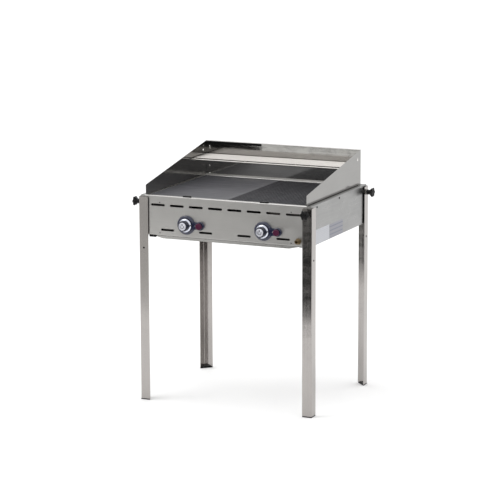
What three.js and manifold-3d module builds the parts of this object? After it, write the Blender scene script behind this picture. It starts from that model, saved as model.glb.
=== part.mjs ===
// A free-standing two-burner gas charbroiler: a folded sheet-metal body on four angle legs, with a
// griddle and a grate under a three-sided splash guard.
// Millimetres. X runs from left to right, Y from front to back, Z up from the floor.
import * as THREE from "three";
import { mergeVertices } from "three/addons/utils/BufferGeometryUtils.js";
import Module from "manifold-3d";

const wasm = await Module();
wasm.setup();

// ---------------------------------------------------------------- driving dimensions

const WIDTH = 740; // across the outer faces of the legs
const DEPTH = 592; // front to back across the same faces
const CLEAR = 0.3; // running gap between pieces that touch
const SHEET = 1.2; // body panels and tray

const LEG_TOP = 825;
const LEG_FLANGE = 40;
const LEG_SHEET = 2;
const LEG_STANDOFF = 4; // from a leg's inner face to the body panel
const SHELF_HOLE_Z = 620;
const FOOT_PLATE = 4;
const FOOT_PLUG = 12;

const BODY_BOTTOM = 674;
const BODY_TOP = 832;
const RIM_SIDE = 17;
const RIM_FRONT = 18;
const RIM_REAR = 38;
const LEDGE_DROP = 10; // from the rim down to the ledge that carries the plates
const LEDGE_SIDE = 25;
const LEDGE_END = 12;
const BOTTOM_FLANGE = 14;

const GUARD_X = 343.5;
const GUARD_FRONT_Y = -286;
const GUARD_REAR_Y = 275;
const GUARD_FRONT_HEIGHT = 39.5;
const GUARD_REAR_HEIGHT = 141;
const GUARD_SHEET = 1;
const GUARD_FOOT = 7;
const GUARD_TAB = 24;

const PLATE_X = 336;
const PLATE_THICK = 7.7;
const GRATE_BARS = 27;
const GRATE_BAR = 5;

const RACK_Z = 915;
const RACK_FRONT_Y = 123;
const RACK_REAR_Y = 268;
const RACK_WIRES = 11;

const CONTROL_X = 165;
const CONTROL_Z = 723;
const IGNITER_OFFSET = 60; // from a knob's axis to its igniter button, to the right
const KNOB_REACH = 40; // from the front panel to the knob's face
const INLET_X = 312;
const PIPE_Z = 694;
const PIPE_Y = -267;
const PIPE_RADIUS = 8;

const BURNER_RADIUS = 19;
const BURNER_FRONT_Y = -246;
const BURNER_LENGTH = 482;
const RAIL_Y = 202;
const RAIL_WIDTH = 26;

const TRAY_BOTTOM = 661;
const TRAY_RIM_Z = 670.8;
const TRAY_FLOOR_X = 270;
const TRAY_SLOPE_X = 314;
const TRAY_X = 327;
const TRAY_Y = 284.3;

const CLAMP_Z = 802;
const CLAMP_REACH = 30; // from a leg's outer face to the star knob's face
const STAR_LOBES = 6;

// Places worked out from them.
const LEG_X = WIDTH / 2;
const LEG_Y = DEPTH / 2;
const PANEL_X = LEG_X - LEG_SHEET - LEG_STANDOFF;
const PANEL_Y = LEG_Y - LEG_SHEET - LEG_STANDOFF;
const LEDGE_Z = BODY_TOP - LEDGE_DROP;
const RIM_X = PANEL_X - RIM_SIDE;
const FRONT_LIP_Y = -PANEL_Y + RIM_FRONT;
const REAR_LIP_Y = PANEL_Y - RIM_REAR;
const PLATE_Z = LEDGE_Z + CLEAR;
const RAIL_TOP = CONTROL_Z - BURNER_RADIUS - CLEAR;

// ---------------------------------------------------------------- finishes

const STAINLESS = { color: 0xa9a8a3, roughness: 0.34, metalness: 1 };
const BRIGHT_WIRE = { color: 0xd8d2c8, roughness: 0.22, metalness: 1 };
const BLACK_STEEL = { color: 0x4c4b50, roughness: 0.6, metalness: 0.6 };
const BLACK_PLASTIC = { color: 0x1b1b1e, roughness: 0.45, metalness: 0 };
const BLUE_BLACK = { color: 0x1d2036, roughness: 0.35, metalness: 0 };
const MAROON = { color: 0x4b1030, roughness: 0.35, metalness: 0 };
const CHROME = { color: 0xd9dbe2, roughness: 0.12, metalness: 1 };
const BRASS = { color: 0xb08a4a, roughness: 0.35, metalness: 1 };
const CERAMIC = { color: 0xe6e2d8, roughness: 0.5, metalness: 0 };

// ---------------------------------------------------------------- solids

// A closed three.js geometry as a solid that can be joined and cut.
function solid(geometry) {
  geometry.deleteAttribute("normal");
  geometry.deleteAttribute("uv");
  const merged = mergeVertices(geometry, 1e-4);
  const corners = merged.index.array;
  const triangles = [];
  for (let i = 0; i < corners.length; i += 3) {
    const [a, b, c] = corners.slice(i, i + 3);
    if (a !== b && b !== c && c !== a) triangles.push([a, b, c]);
  }
  const build = (list) =>
    new wasm.Manifold(
      new wasm.Mesh({
        numProp: 3,
        vertProperties: merged.attributes.position.array,
        triVerts: new Uint32Array(list.flat()),
      }),
    );
  const made = build(triangles);
  return made.volume() > 0 ? made : build(triangles.map(([a, b, c]) => [a, c, b]));
}

const join = (...pieces) => pieces.reduce((sum, piece) => sum.add(piece));
const cut = (body, ...tools) => tools.reduce((rest, tool) => rest.subtract(tool), body);

// A block between two limits on each axis, given in either order.
function block(xs, ys, zs) {
  const spans = [xs, ys, zs];
  const size = spans.map(([a, b]) => Math.abs(b - a));
  const middle = spans.map(([a, b]) => (a + b) / 2);
  return solid(new THREE.BoxGeometry(...size).translate(...middle));
}

// The outline's two coordinates and the direction it is extruded in, for each extrusion axis.
const FRAMES = {
  x: [new THREE.Vector3(0, 1, 0), new THREE.Vector3(0, 0, 1), new THREE.Vector3(1, 0, 0)],
  y: [new THREE.Vector3(1, 0, 0), new THREE.Vector3(0, 0, 1), new THREE.Vector3(0, -1, 0)],
  z: [new THREE.Vector3(1, 0, 0), new THREE.Vector3(0, 1, 0), new THREE.Vector3(0, 0, 1)],
};

// A prism along an axis between two places: outline is a THREE.Shape, or a list of [a, b] points.
function prism(axis, outline, from, to) {
  const shape = outline instanceof THREE.Shape
    ? outline
    : new THREE.Shape(outline.map(([a, b]) => new THREE.Vector2(a, b)));
  const geometry = new THREE.ExtrudeGeometry(shape, {
    depth: Math.abs(to - from),
    bevelEnabled: false,
    curveSegments: 3,
  });
  const [first, second, along] = FRAMES[axis];
  const start = axis === "y" ? Math.max(from, to) : Math.min(from, to);
  const place = new THREE.Matrix4().makeBasis(first, second, along);
  place.setPosition(axis === "x" ? start : 0, axis === "y" ? start : 0, axis === "z" ? start : 0);
  return solid(geometry.applyMatrix4(place));
}

// A turned piece: profile points are [radius, distance along direction from centre].
function turned(profile, centre, direction, sides = 20) {
  const points = profile.map(([radius, along]) => new THREE.Vector2(radius, along));
  const geometry = new THREE.LatheGeometry(points, sides);
  const turn = new THREE.Quaternion().setFromUnitVectors(
    new THREE.Vector3(0, 1, 0),
    new THREE.Vector3(...direction).normalize(),
  );
  return solid(geometry.applyQuaternion(turn).translate(...centre));
}

function rod(from, to, radius, sides = 16) {
  const along = new THREE.Vector3(...to).sub(new THREE.Vector3(...from));
  const length = along.length();
  const profile = [[0, 0], [radius, 0], [radius, length], [0, length]];
  return turned(profile, from, along.toArray(), sides);
}

// The outline of a folded strip of sheet: its face's points, then its other face's, mitred at folds.
// A positive thickness lies to the left of the path.
function strip(path, thickness) {
  const face = path.map(([a, b]) => new THREE.Vector2(a, b));
  const normal = (i) => {
    const run = face[i + 1].clone().sub(face[i]).normalize();
    return new THREE.Vector2(-run.y, run.x);
  };
  const back = face.map((point, i) => {
    const after = normal(Math.min(i, face.length - 2));
    const mitre = normal(Math.max(i - 1, 0)).add(after).normalize();
    return point.clone().addScaledVector(mitre, thickness / mitre.dot(after));
  });
  return [...face, ...back.reverse()].map((point) => point.toArray());
}

// A slot with round ends, lying along the outline's first coordinate.
function slot(a, b, length, height) {
  const radius = height / 2;
  const reach = length / 2 - radius;
  const shape = new THREE.Shape();
  shape.absarc(a + reach, b, radius, -Math.PI / 2, Math.PI / 2, false);
  shape.absarc(a - reach, b, radius, Math.PI / 2, (3 * Math.PI) / 2, false);
  return shape;
}

// Adds a solid to a group as one named mesh with its own material.
function part(group, name, piece, finish) {
  const { vertProperties, triVerts } = piece.getMesh();
  const geometry = new THREE.BufferGeometry();
  geometry.setAttribute("position", new THREE.BufferAttribute(vertProperties, 3));
  geometry.setIndex(new THREE.BufferAttribute(triVerts, 1));
  const mesh = new THREE.Mesh(geometry, new THREE.MeshStandardMaterial({ ...finish, flatShading: true }));
  mesh.name = name;
  group.add(mesh);
}

const SIDES = [["left", -1], ["right", 1]];

// ---------------------------------------------------------------- body panels

const VENT_PITCH = 82.5;
const UPPER_VENT_Z = 795;
const LOWER_VENT_Z = 697;

// The four corners: the signs of x and y, and the direction in which its clamp stands out.
const CORNERS = [
  { name: "front_left", x: -1, y: -1, out: [-1, 0] },
  { name: "front_right", x: 1, y: -1, out: [0, -1] },
  { name: "rear_right", x: 1, y: 1, out: [1, 0] },
  { name: "rear_left", x: -1, y: 1, out: [0, 1] },
];

// Where a corner's clamp crosses the leg's outer face: the middle of the flange it stands on.
function clampPlace({ x, y, out }) {
  const mid = LEG_FLANGE / 2;
  return out[0] ? [x * LEG_X, y * (LEG_Y - mid)] : [x * (LEG_X - mid), y * LEG_Y];
}

// A hole through leg and panel at each corner's clamp.
function clampHoles(radius, reach) {
  return CORNERS.map((corner) => {
    const [x, y] = clampPlace(corner);
    const [dx, dy] = corner.out;
    return rod([x + 2 * dx, y + 2 * dy, CLAMP_Z], [x - reach * dx, y - reach * dy, CLAMP_Z], radius, 12);
  });
}

const panelHoles = clampHoles(4.9, 10);

function upperVents(y) {
  const places = [-3.5, -2.5, -1.5, -0.5, 0.5, 1.5, 2.5, 3.5].map((step) => step * VENT_PITCH);
  return places.map((x) => prism("y", slot(x, UPPER_VENT_Z, 60, 8.5), y - 3, y + 3));
}

// A front or rear panel: facing is -1 for the front and 1 for the rear.
function endPanel(facing, rim) {
  const wall = facing * PANEL_Y;
  const inner = facing * (PANEL_Y - rim);
  const ledge = inner - facing * LEDGE_END;
  const path = [
    [wall - facing * BOTTOM_FLANGE, BODY_BOTTOM],
    [wall, BODY_BOTTOM],
    [wall, BODY_TOP],
    [inner, BODY_TOP],
    [inner, LEDGE_Z],
    [ledge, LEDGE_Z],
  ];
  const foldX = PANEL_X - BOTTOM_FLANGE - 4.3;
  const folds = prism("x", strip(path, facing * SHEET), -foldX, foldX);
  const face = block([-PANEL_X, PANEL_X], [wall, wall - facing * SHEET], [BODY_BOTTOM, BODY_TOP]);
  const ledgeX = RIM_X - LEDGE_SIDE - 0.5;
  const corners = [-1, 1].map((side) =>
    block(
      [side * ledgeX, side * PANEL_X],
      [wall - facing * 2, ledge - facing],
      [LEDGE_Z - 4, BODY_TOP - SHEET - CLEAR],
    ),
  );
  return cut(join(face, folds), ...corners, ...upperVents(wall), ...panelHoles);
}

function frontPanel() {
  const [near, far] = [-PANEL_Y - 3, -PANEL_Y + 3];
  const lowerVents = [-3, -1, 1, 3].map((step) =>
    prism("y", slot(step * VENT_PITCH, LOWER_VENT_Z, 56, 7), near, far),
  );
  const controls = [-CONTROL_X, CONTROL_X].flatMap((x) => [
    rod([x, near, CONTROL_Z], [x, far, CONTROL_Z], 6),
    rod([x + IGNITER_OFFSET, near, CONTROL_Z], [x + IGNITER_OFFSET, far, CONTROL_Z], 8),
    prism("z", slot(x, -PANEL_Y + 5, 36, 4), BODY_TOP - 3, BODY_TOP + 3),
  ]);
  const inlet = rod([INLET_X, near, PIPE_Z], [INLET_X, far, PIPE_Z], 10);
  return cut(endPanel(-1, RIM_FRONT), ...lowerVents, ...controls, inlet);
}

function sidePanel(side) {
  const path = [
    [PANEL_X - BOTTOM_FLANGE - 4, BODY_BOTTOM],
    [PANEL_X, BODY_BOTTOM],
    [PANEL_X, BODY_TOP],
    [RIM_X, BODY_TOP],
    [RIM_X, LEDGE_Z],
    [RIM_X - LEDGE_SIDE, LEDGE_Z],
  ].map(([x, z]) => [side * x, z]);
  const reach = PANEL_Y - SHEET - CLEAR;
  return cut(prism("y", strip(path, side * SHEET), -reach, reach), ...panelHoles);
}

// The channel under the joint between griddle and grate, hung below the front and rear ledges.
function centreBar() {
  const top = LEDGE_Z - SHEET - CLEAR;
  const path = [[-12, top - 14], [-12, top], [12, top], [12, top - 14]];
  return prism("y", strip(path, -SHEET), FRONT_LIP_Y + 1, REAR_LIP_Y - 1);
}

// ---------------------------------------------------------------- drip tray

function trayRunner(side) {
  const lip = TRAY_RIM_Z - SHEET - 0.4;
  const web = TRAY_X + 3;
  const top = BODY_BOTTOM - CLEAR - SHEET;
  const path = [[TRAY_SLOPE_X - 1, lip], [web, lip], [web, top], [web + 28, top]];
  const outline = strip(path, SHEET).map(([x, z]) => [side * x, z]);
  const reach = TRAY_Y + CLEAR + SHEET;
  const stop = block(
    [side * (TRAY_SLOPE_X - 1), side * web],
    [TRAY_Y + CLEAR, reach],
    [lip, top + SHEET],
  );
  return join(prism("y", outline, -reach, reach), stop);
}

function dripTray() {
  const half = [[TRAY_FLOOR_X, TRAY_BOTTOM], [TRAY_SLOPE_X, TRAY_RIM_Z], [TRAY_X, TRAY_RIM_Z]];
  const path = [...half.map(([x, z]) => [-x, z]).reverse(), ...half];
  const pan = prism("y", strip(path, SHEET), -TRAY_Y, TRAY_Y);
  const wall = [
    [-TRAY_SLOPE_X, TRAY_RIM_Z + SHEET],
    [-TRAY_FLOOR_X, TRAY_BOTTOM],
    [TRAY_FLOOR_X, TRAY_BOTTOM],
    [TRAY_SLOPE_X, TRAY_RIM_Z + SHEET],
  ];
  return join(
    pan,
    prism("y", wall, -TRAY_Y, -TRAY_Y + SHEET),
    prism("y", wall, TRAY_Y - SHEET, TRAY_Y),
  );
}

// ---------------------------------------------------------------- burners and gas

function burnerRail(end) {
  const y = end * RAIL_Y;
  const half = RAIL_WIDTH / 2;
  const path = [
    [y - half, RAIL_TOP - 18],
    [y - half, RAIL_TOP],
    [y + half, RAIL_TOP],
    [y + half, RAIL_TOP - 18],
  ];
  const reach = PANEL_X - SHEET - 0.5;
  return prism("x", strip(path, -SHEET), -reach, reach);
}

// A tube with a flared mouth and a narrowed throat, closed at the back, with slotted ports on top.
function burner(x) {
  const outer = BURNER_RADIUS;
  const inner = BURNER_RADIUS - 1.5;
  const profile = [
    [0, BURNER_LENGTH],
    [outer, BURNER_LENGTH],
    [outer, 90],
    [12.5, 50],
    [12.5, 30],
    [18, 0],
    [16.5, 0],
    [11, 30],
    [11, 50],
    [inner, 90],
    [inner, BURNER_LENGTH - 1.5],
    [0, BURNER_LENGTH - 1.5],
  ];
  const tube = turned(profile, [x, BURNER_FRONT_Y, CONTROL_Z], [0, 1, 0]);
  const ports = [];
  for (let y = -120; y <= 200; y += 40) {
    ports.push(block([x - 1.5, x + 1.5], [y, y + 20], [CONTROL_Z + inner - 5, CONTROL_Z + outer + 2]));
  }
  return cut(tube, ...ports);
}

// A ridged plate over a burner, on four legs that stand on the burner rails.
function heatPlate(x) {
  const apex = 785;
  const drop = 33;
  const path = [[x - 55, apex - drop], [x, apex], [x + 55, apex - drop]];
  const ridge = prism("y", strip(path, -1.5), -235, 235);
  const legs = [-1, 1].flatMap((side) =>
    [-RAIL_Y, RAIL_Y].map((y) =>
      block(
        [x + side * 48, x + side * 51],
        [y - 6, y + 6],
        [RAIL_TOP + CLEAR, apex - drop + 3],
      ),
    ),
  );
  return join(ridge, ...legs);
}

function gasManifold() {
  return rod([-CONTROL_X - 20, PIPE_Y, PIPE_Z], [INLET_X - 11 - CLEAR, PIPE_Y, PIPE_Z], PIPE_RADIUS);
}

// Elbow behind the panel, hexagon in front of it and a plain spigot for the hose.
function gasInlet() {
  const face = -PANEL_Y;
  const elbow = block([INLET_X - 11, INLET_X + 11], [PIPE_Y - 11, PIPE_Y + 11], [PIPE_Z - 11, PIPE_Z + 11]);
  const neck = rod([INLET_X, PIPE_Y, PIPE_Z], [INLET_X, face - 2, PIPE_Z], 9);
  const hexagon = rod([INLET_X, face - 0.5, PIPE_Z], [INLET_X, face - 8, PIPE_Z], 13, 6);
  const spigot = rod([INLET_X, face - 7, PIPE_Z], [INLET_X, face - 24, PIPE_Z], 8);
  const bore = rod([INLET_X, face - 12, PIPE_Z], [INLET_X, face - 25, PIPE_Z], 2);
  return cut(join(elbow, neck, hexagon, spigot), bore);
}

// A porcelain rod on a small base, with a wire that reaches over the burner.
function electrode(x) {
  const foot = RAIL_TOP + CLEAR;
  const stem = x + 28;
  return join(
    block([stem - 6, stem + 6], [-RAIL_Y - 6, -RAIL_Y + 6], [foot, foot + 1.2]),
    rod([stem, -RAIL_Y, foot + 1], [stem, -RAIL_Y, 744], 3.2, 12),
    rod([stem, -RAIL_Y, 742], [x + 14, -RAIL_Y, 750], 1, 8),
  );
}

// ---------------------------------------------------------------- controls

// One burner's valve, knob and igniter, in a group whose origin is on the front panel at the knob's
// axis: Y runs into the grill from there.
function controlSet(grill, side, x) {
  const set = new THREE.Group();
  set.position.set(x, -PANEL_Y, CONTROL_Z);
  grill.add(set);
  const out = [0, -1, 0];
  const into = [0, 1, 0];
  const axis = [0, 0, 0];
  const button = [IGNITER_OFFSET, 0, 0];

  const dome = turned([[0, CLEAR], [38, CLEAR], [38, 3], [34, 6], [27, 8], [0, 8]], axis, out, 28);
  const lobe = turned([[0, CLEAR], [17.5, CLEAR], [17.5, 5], [15.5, 8], [0, 8]], button, out);
  const neck = block([0, IGNITER_OFFSET], [-7, -CLEAR], [-9, 9]);
  const bezelHoles = [rod([0, -9, 0], [0, 1, 0], 6), rod([IGNITER_OFFSET, -9, 0], [IGNITER_OFFSET, 1, 0], 5.5)];
  part(set, `bezel_${side}`, cut(join(dome, lobe, neck), ...bezelHoles), BLUE_BLACK);

  const boss = turned([[0, 1.5], [9, 1.5], [9, 7], [0, 7]], axis, into);
  const body = block([-13, 13], [6, 40], [-13, 13]);
  const inletBoss = rod([0, PIPE_Y + PANEL_Y, -12], [0, PIPE_Y + PANEL_Y, PIPE_Z + PIPE_RADIUS + CLEAR - CONTROL_Z], 7);
  const jet = rod([0, 39, 0], [0, 50, 0], 4);
  const valveBore = rod([0, 1, 0], [0, 27.5, 0], 6);
  part(set, `valve_body_${side}`, cut(join(boss, body, inletBoss, jet), valveBore), BRASS);

  const plug = rod([0, 14, 0], [0, 27, 0], 5.6);
  const keyway = block([-7, 7], [13, 22.5], [-1.95, 1.95]);
  part(set, `valve_plug_${side}`, cut(plug, keyway), BRASS);

  const shaft = rod([0, -27.7, 0], [0, 9.5, 0], 4);
  const tongue = block([-3.2, 3.2], [9, 17], [-1.6, 1.6]);
  part(set, `valve_stem_${side}`, join(shaft, tongue), STAINLESS);

  const capBack = KNOB_REACH - 3;
  const grip = [[0, 12.6], [27, 12.6], [27, 15], [24, 18], [21.5, 20], [20.5, capBack], [0, capBack]];
  const knobBore = rod([0, -28, 0], [0, 0, 0], 4.3);
  part(set, `control_knob_${side}`, cut(turned(grip, axis, out, 24), knobBore), BLUE_BLACK);

  const cap = [[0, capBack + CLEAR], [15.5, capBack + CLEAR], [15.5, KNOB_REACH - 1], [14.5, KNOB_REACH], [0, KNOB_REACH]];
  part(set, `knob_cap_${side}`, turned(cap, axis, out), CHROME);

  const housing = turned([[0, 0.2], [7.6, 0.2], [7.6, 1.5], [10, 1.5], [10, 40], [0, 40]], button, into);
  const plungerBore = rod([IGNITER_OFFSET, -1, 0], [IGNITER_OFFSET, 28, 0], 5.4);
  part(set, `igniter_body_${side}`, cut(housing, plungerBore), BLACK_PLASTIC);

  const head = turned([[0, 13.5], [13, 13.5], [13, 19], [11, 21.5], [0, 22]], button, out);
  const plunger = rod([IGNITER_OFFSET, -14, 0], [IGNITER_OFFSET, 22, 0], 5);
  part(set, `igniter_button_${side}`, join(head, plunger), MAROON);
}

// ---------------------------------------------------------------- legs, feet and clamps

// A leg flange as an outline: up to the top with its free corner rounded. reach is signed.
function flangeOutline(corner, reach) {
  const radius = 6;
  const sign = Math.sign(reach);
  const free = corner + reach;
  const bottom = FOOT_PLATE + CLEAR;
  const shape = new THREE.Shape();
  shape.moveTo(corner, bottom);
  shape.lineTo(corner, LEG_TOP);
  shape.lineTo(free - sign * radius, LEG_TOP);
  shape.quadraticCurveTo(free, LEG_TOP, free, LEG_TOP - radius);
  shape.lineTo(free, bottom);
  return shape;
}

const legHoles = clampHoles(3.5, 4);

function leg({ x, y }) {
  const [cornerX, cornerY] = [x * LEG_X, y * LEG_Y];
  const mid = LEG_FLANGE / 2;
  const endFlange = prism("y", flangeOutline(cornerX, -x * LEG_FLANGE), cornerY, cornerY - y * LEG_SHEET);
  const sideFlange = prism("x", flangeOutline(cornerY, -y * LEG_FLANGE), cornerX, cornerX - x * LEG_SHEET);
  const [holeX, holeY] = [cornerX - x * mid, cornerY - y * mid];
  const shelfHoles = [
    rod([holeX, cornerY - 5, SHELF_HOLE_Z], [holeX, cornerY + 5, SHELF_HOLE_Z], 3, 12),
    rod([cornerX - 5, holeY, SHELF_HOLE_Z], [cornerX + 5, holeY, SHELF_HOLE_Z], 3, 12),
  ];
  return cut(join(endFlange, sideFlange), ...shelfHoles, ...legHoles);
}

// A three-cornered plate under the leg, with a plug that stands up inside the angle.
function foot({ x, y }) {
  const triangle = (inset, size) => [
    [x * (LEG_X - inset), y * (LEG_Y - inset)],
    [x * (LEG_X - inset - size), y * (LEG_Y - inset)],
    [x * (LEG_X - inset), y * (LEG_Y - inset - size)],
  ];
  return join(
    prism("z", triangle(0, LEG_FLANGE), 0, FOOT_PLATE),
    prism("z", triangle(LEG_SHEET + CLEAR, LEG_FLANGE - 10), FOOT_PLATE - 1, FOOT_PLATE + FOOT_PLUG),
  );
}

// The lobed head's outline.
function starOutline() {
  const points = [];
  const steps = STAR_LOBES * 4;
  for (let i = 0; i < steps; i++) {
    const angle = (i / steps) * 2 * Math.PI;
    const radius = 17.5 + 2.5 * Math.cos(STAR_LOBES * angle);
    points.push([radius * Math.cos(angle), radius * Math.sin(angle)]);
  }
  return points;
}

// A rivet nut in the panel, and the star knob with its washer on the leg, in a group whose origin is
// on the leg's outer face: Y runs into the body from there.
function clampSet(grill, corner) {
  const [x, y] = clampPlace(corner);
  const set = new THREE.Group();
  set.position.set(x, y, CLAMP_Z);
  set.rotation.z = Math.atan2(corner.out[0], -corner.out[1]);
  grill.add(set);
  const into = [0, 1, 0];
  const axis = [0, 0, 0];
  const gap = LEG_SHEET + CLEAR;
  const panel = LEG_SHEET + LEG_STANDOFF;

  const nut = [[3.4, gap], [8, gap], [8, panel - CLEAR], [4.5, panel - CLEAR], [4.5, panel + 13], [3.4, panel + 13], [3.4, gap]];
  part(set, `leg_nut_${corner.name}`, turned(nut, axis, into, 12), STAINLESS);

  const washer = [[3.5, -1.9], [9, -1.9], [9, -CLEAR], [3.5, -CLEAR], [3.5, -1.9]];
  part(set, `clamp_washer_${corner.name}`, turned(washer, axis, into, 12), STAINLESS);

  const hub = turned([[0, -15], [11, -15], [9, -12], [9, -2.2], [0, -2.2]], axis, into);
  const head = prism("y", starOutline(), -CLAMP_REACH, -14);
  const stud = rod([0, -3, 0], [0, 23, 0], 3, 16);
  part(set, `star_knob_${corner.name}`, join(hub, head, stud), BLACK_PLASTIC);
}

// ---------------------------------------------------------------- guard, rack and plates

const RACK_ROD = 2.5;
const RACK_END_X = 335;
const GUARD_TOP = BODY_TOP + GUARD_REAR_HEIGHT;
const GUARD_BACK = GUARD_REAR_Y + GUARD_SHEET + CLEAR;

// A side wall drops into the opening between the front and rear rims and stands on the side ledge. Its
// back end turns in behind the rear wall, and two pins inside carry the rack.
function guardSide(side) {
  const above = BODY_TOP + CLEAR;
  const below = PLATE_Z;
  const outline = [
    [GUARD_FRONT_Y, above],
    [FRONT_LIP_Y + 0.5, above],
    [FRONT_LIP_Y + 0.5, below],
    [REAR_LIP_Y - 0.5, below],
    [REAR_LIP_Y - 0.5, above],
    [GUARD_BACK + GUARD_SHEET, above],
    [GUARD_BACK + GUARD_SHEET, GUARD_TOP],
    [GUARD_BACK, GUARD_TOP],
    [GUARD_FRONT_Y, BODY_TOP + GUARD_FRONT_HEIGHT],
  ];
  const outer = side * GUARD_X;
  const inner = side * (GUARD_X - GUARD_SHEET);
  const wall = prism("x", outline, inner, outer);
  const footFlange = block(
    [outer, outer - side * GUARD_FOOT],
    [FRONT_LIP_Y + 0.5, REAR_LIP_Y - 0.5],
    [below, below + GUARD_SHEET],
  );
  const tab = block(
    [outer, outer - side * GUARD_TAB],
    [GUARD_BACK, GUARD_BACK + GUARD_SHEET],
    [BODY_TOP + 2, GUARD_TOP - 8],
  );
  const pinZ = RACK_Z - RACK_ROD - CLEAR - 3;
  const pins = [RACK_FRONT_Y + 15, RACK_REAR_Y - 15].map((y) =>
    rod([outer - side * 0.5, y, pinZ], [outer - side * 15, y, pinZ], 3, 16),
  );
  const hole = rod([outer - 4, 242, 938], [outer + 4, 242, 938], 4.5);
  return cut(join(wall, footFlange, tab, ...pins), hole);
}

// The rear wall stands on the rear rim; its top edge is folded back and rivet heads hold it to the tabs.
function guardRear() {
  const path = [[GUARD_REAR_Y, BODY_TOP + CLEAR], [GUARD_REAR_Y, GUARD_TOP], [GUARD_REAR_Y + 9, GUARD_TOP]];
  const reach = GUARD_X - GUARD_SHEET - CLEAR;
  const wall = prism("x", strip(path, -GUARD_SHEET), -reach, reach);
  const rivets = [-329, 329].flatMap((x) =>
    [837, 868, 949].map((z) =>
      turned([[0, -0.5], [3.5, -0.5], [3.5, 1], [2, 2], [0, 2]], [x, GUARD_REAR_Y, z], [0, -1, 0], 8),
    ),
  );
  return join(wall, ...rivets);
}

function warmingRack() {
  const rails = [
    rod([-RACK_END_X - 2, RACK_FRONT_Y, RACK_Z], [RACK_END_X + 2, RACK_FRONT_Y, RACK_Z], 3.2, 8),
    rod([-RACK_END_X - 2, RACK_REAR_Y, RACK_Z], [RACK_END_X + 2, RACK_REAR_Y, RACK_Z], RACK_ROD, 8),
  ];
  const ends = [-RACK_END_X, RACK_END_X].map((x) =>
    rod([x, RACK_FRONT_Y, RACK_Z], [x, RACK_REAR_Y, RACK_Z], RACK_ROD, 8),
  );
  const pitch = (RACK_REAR_Y - RACK_FRONT_Y) / (RACK_WIRES + 1);
  const wires = [];
  for (let i = 1; i <= RACK_WIRES; i++) {
    const y = RACK_FRONT_Y + i * pitch;
    wires.push(rod([-RACK_END_X, y, RACK_Z], [RACK_END_X, y, RACK_Z], 1.6, 6));
  }
  return join(...rails, ...ends, ...wires);
}

const PLATE_FRONT = FRONT_LIP_Y + 1;
const PLATE_BACK = REAR_LIP_Y - 1;
const PLATE_GAP = 0.75; // from the middle to each plate's edge

function griddle() {
  const plate = block([-PLATE_X, -PLATE_GAP], [PLATE_FRONT, PLATE_BACK], [PLATE_Z, PLATE_Z + PLATE_THICK]);
  const dish = block(
    [-PLATE_X + 5, -PLATE_GAP - 5],
    [PLATE_FRONT + 5, PLATE_BACK - 5],
    [PLATE_Z + PLATE_THICK - 1.5, PLATE_Z + PLATE_THICK + 1],
  );
  return cut(plate, dish);
}

// Two rows of long openings between bars that run from front to back.
function grate() {
  const heights = [PLATE_Z, PLATE_Z + PLATE_THICK];
  const through = [PLATE_Z - 1, PLATE_Z + PLATE_THICK + 1];
  const edge = 6;
  const pitch = (PLATE_X - PLATE_GAP - 2 * edge + GRATE_BAR) / GRATE_BARS;
  const middle = (PLATE_FRONT + PLATE_BACK) / 2;
  const rows = [[PLATE_FRONT + 12, middle - 6], [middle + 6, PLATE_BACK - 12]];
  const openings = [];
  for (let i = 0; i < GRATE_BARS; i++) {
    const x = PLATE_GAP + edge + i * pitch;
    openings.push(...rows.map((row) => block([x, x + pitch - GRATE_BAR], row, through)));
  }
  return cut(block([PLATE_GAP, PLATE_X], [PLATE_FRONT, PLATE_BACK], heights), ...openings);
}

// ---------------------------------------------------------------- the grill

const grill = new THREE.Group();
// The knobs reach further forward than the rear clamp reaches back: the origin is midway.
grill.position.y = (PANEL_Y + KNOB_REACH - LEG_Y - CLAMP_REACH) / 2;

part(grill, "front_panel", frontPanel(), STAINLESS);
part(grill, "rear_panel", endPanel(1, RIM_REAR), STAINLESS);
part(grill, "centre_bar", centreBar(), STAINLESS);
part(grill, "drip_tray", dripTray(), STAINLESS);
part(grill, "gas_manifold", gasManifold(), STAINLESS);
part(grill, "gas_inlet", gasInlet(), BRASS);
part(grill, "burner_rail_front", burnerRail(-1), STAINLESS);
part(grill, "burner_rail_rear", burnerRail(1), STAINLESS);

for (const [name, side] of SIDES) {
  const x = side * CONTROL_X;
  part(grill, `side_panel_${name}`, sidePanel(side), STAINLESS);
  part(grill, `tray_runner_${name}`, trayRunner(side), BLACK_STEEL);
  part(grill, `burner_${name}`, burner(x), STAINLESS);
  part(grill, `heat_plate_${name}`, heatPlate(x), STAINLESS);
  part(grill, `electrode_${name}`, electrode(x), CERAMIC);
  part(grill, `guard_${name}`, guardSide(side), STAINLESS);
  controlSet(grill, name, x);
}

for (const corner of CORNERS) {
  part(grill, `leg_${corner.name}`, leg(corner), STAINLESS);
  part(grill, `foot_${corner.name}`, foot(corner), BLACK_PLASTIC);
  clampSet(grill, corner);
}

part(grill, "guard_rear", guardRear(), STAINLESS);
part(grill, "warming_rack", warmingRack(), BRIGHT_WIRE);
part(grill, "griddle", griddle(), BLACK_STEEL);
part(grill, "grate", grate(), BLACK_STEEL);

export default grill;
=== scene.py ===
import math

import bmesh
import bpy
from mathutils import Matrix, Quaternion, Vector


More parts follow.
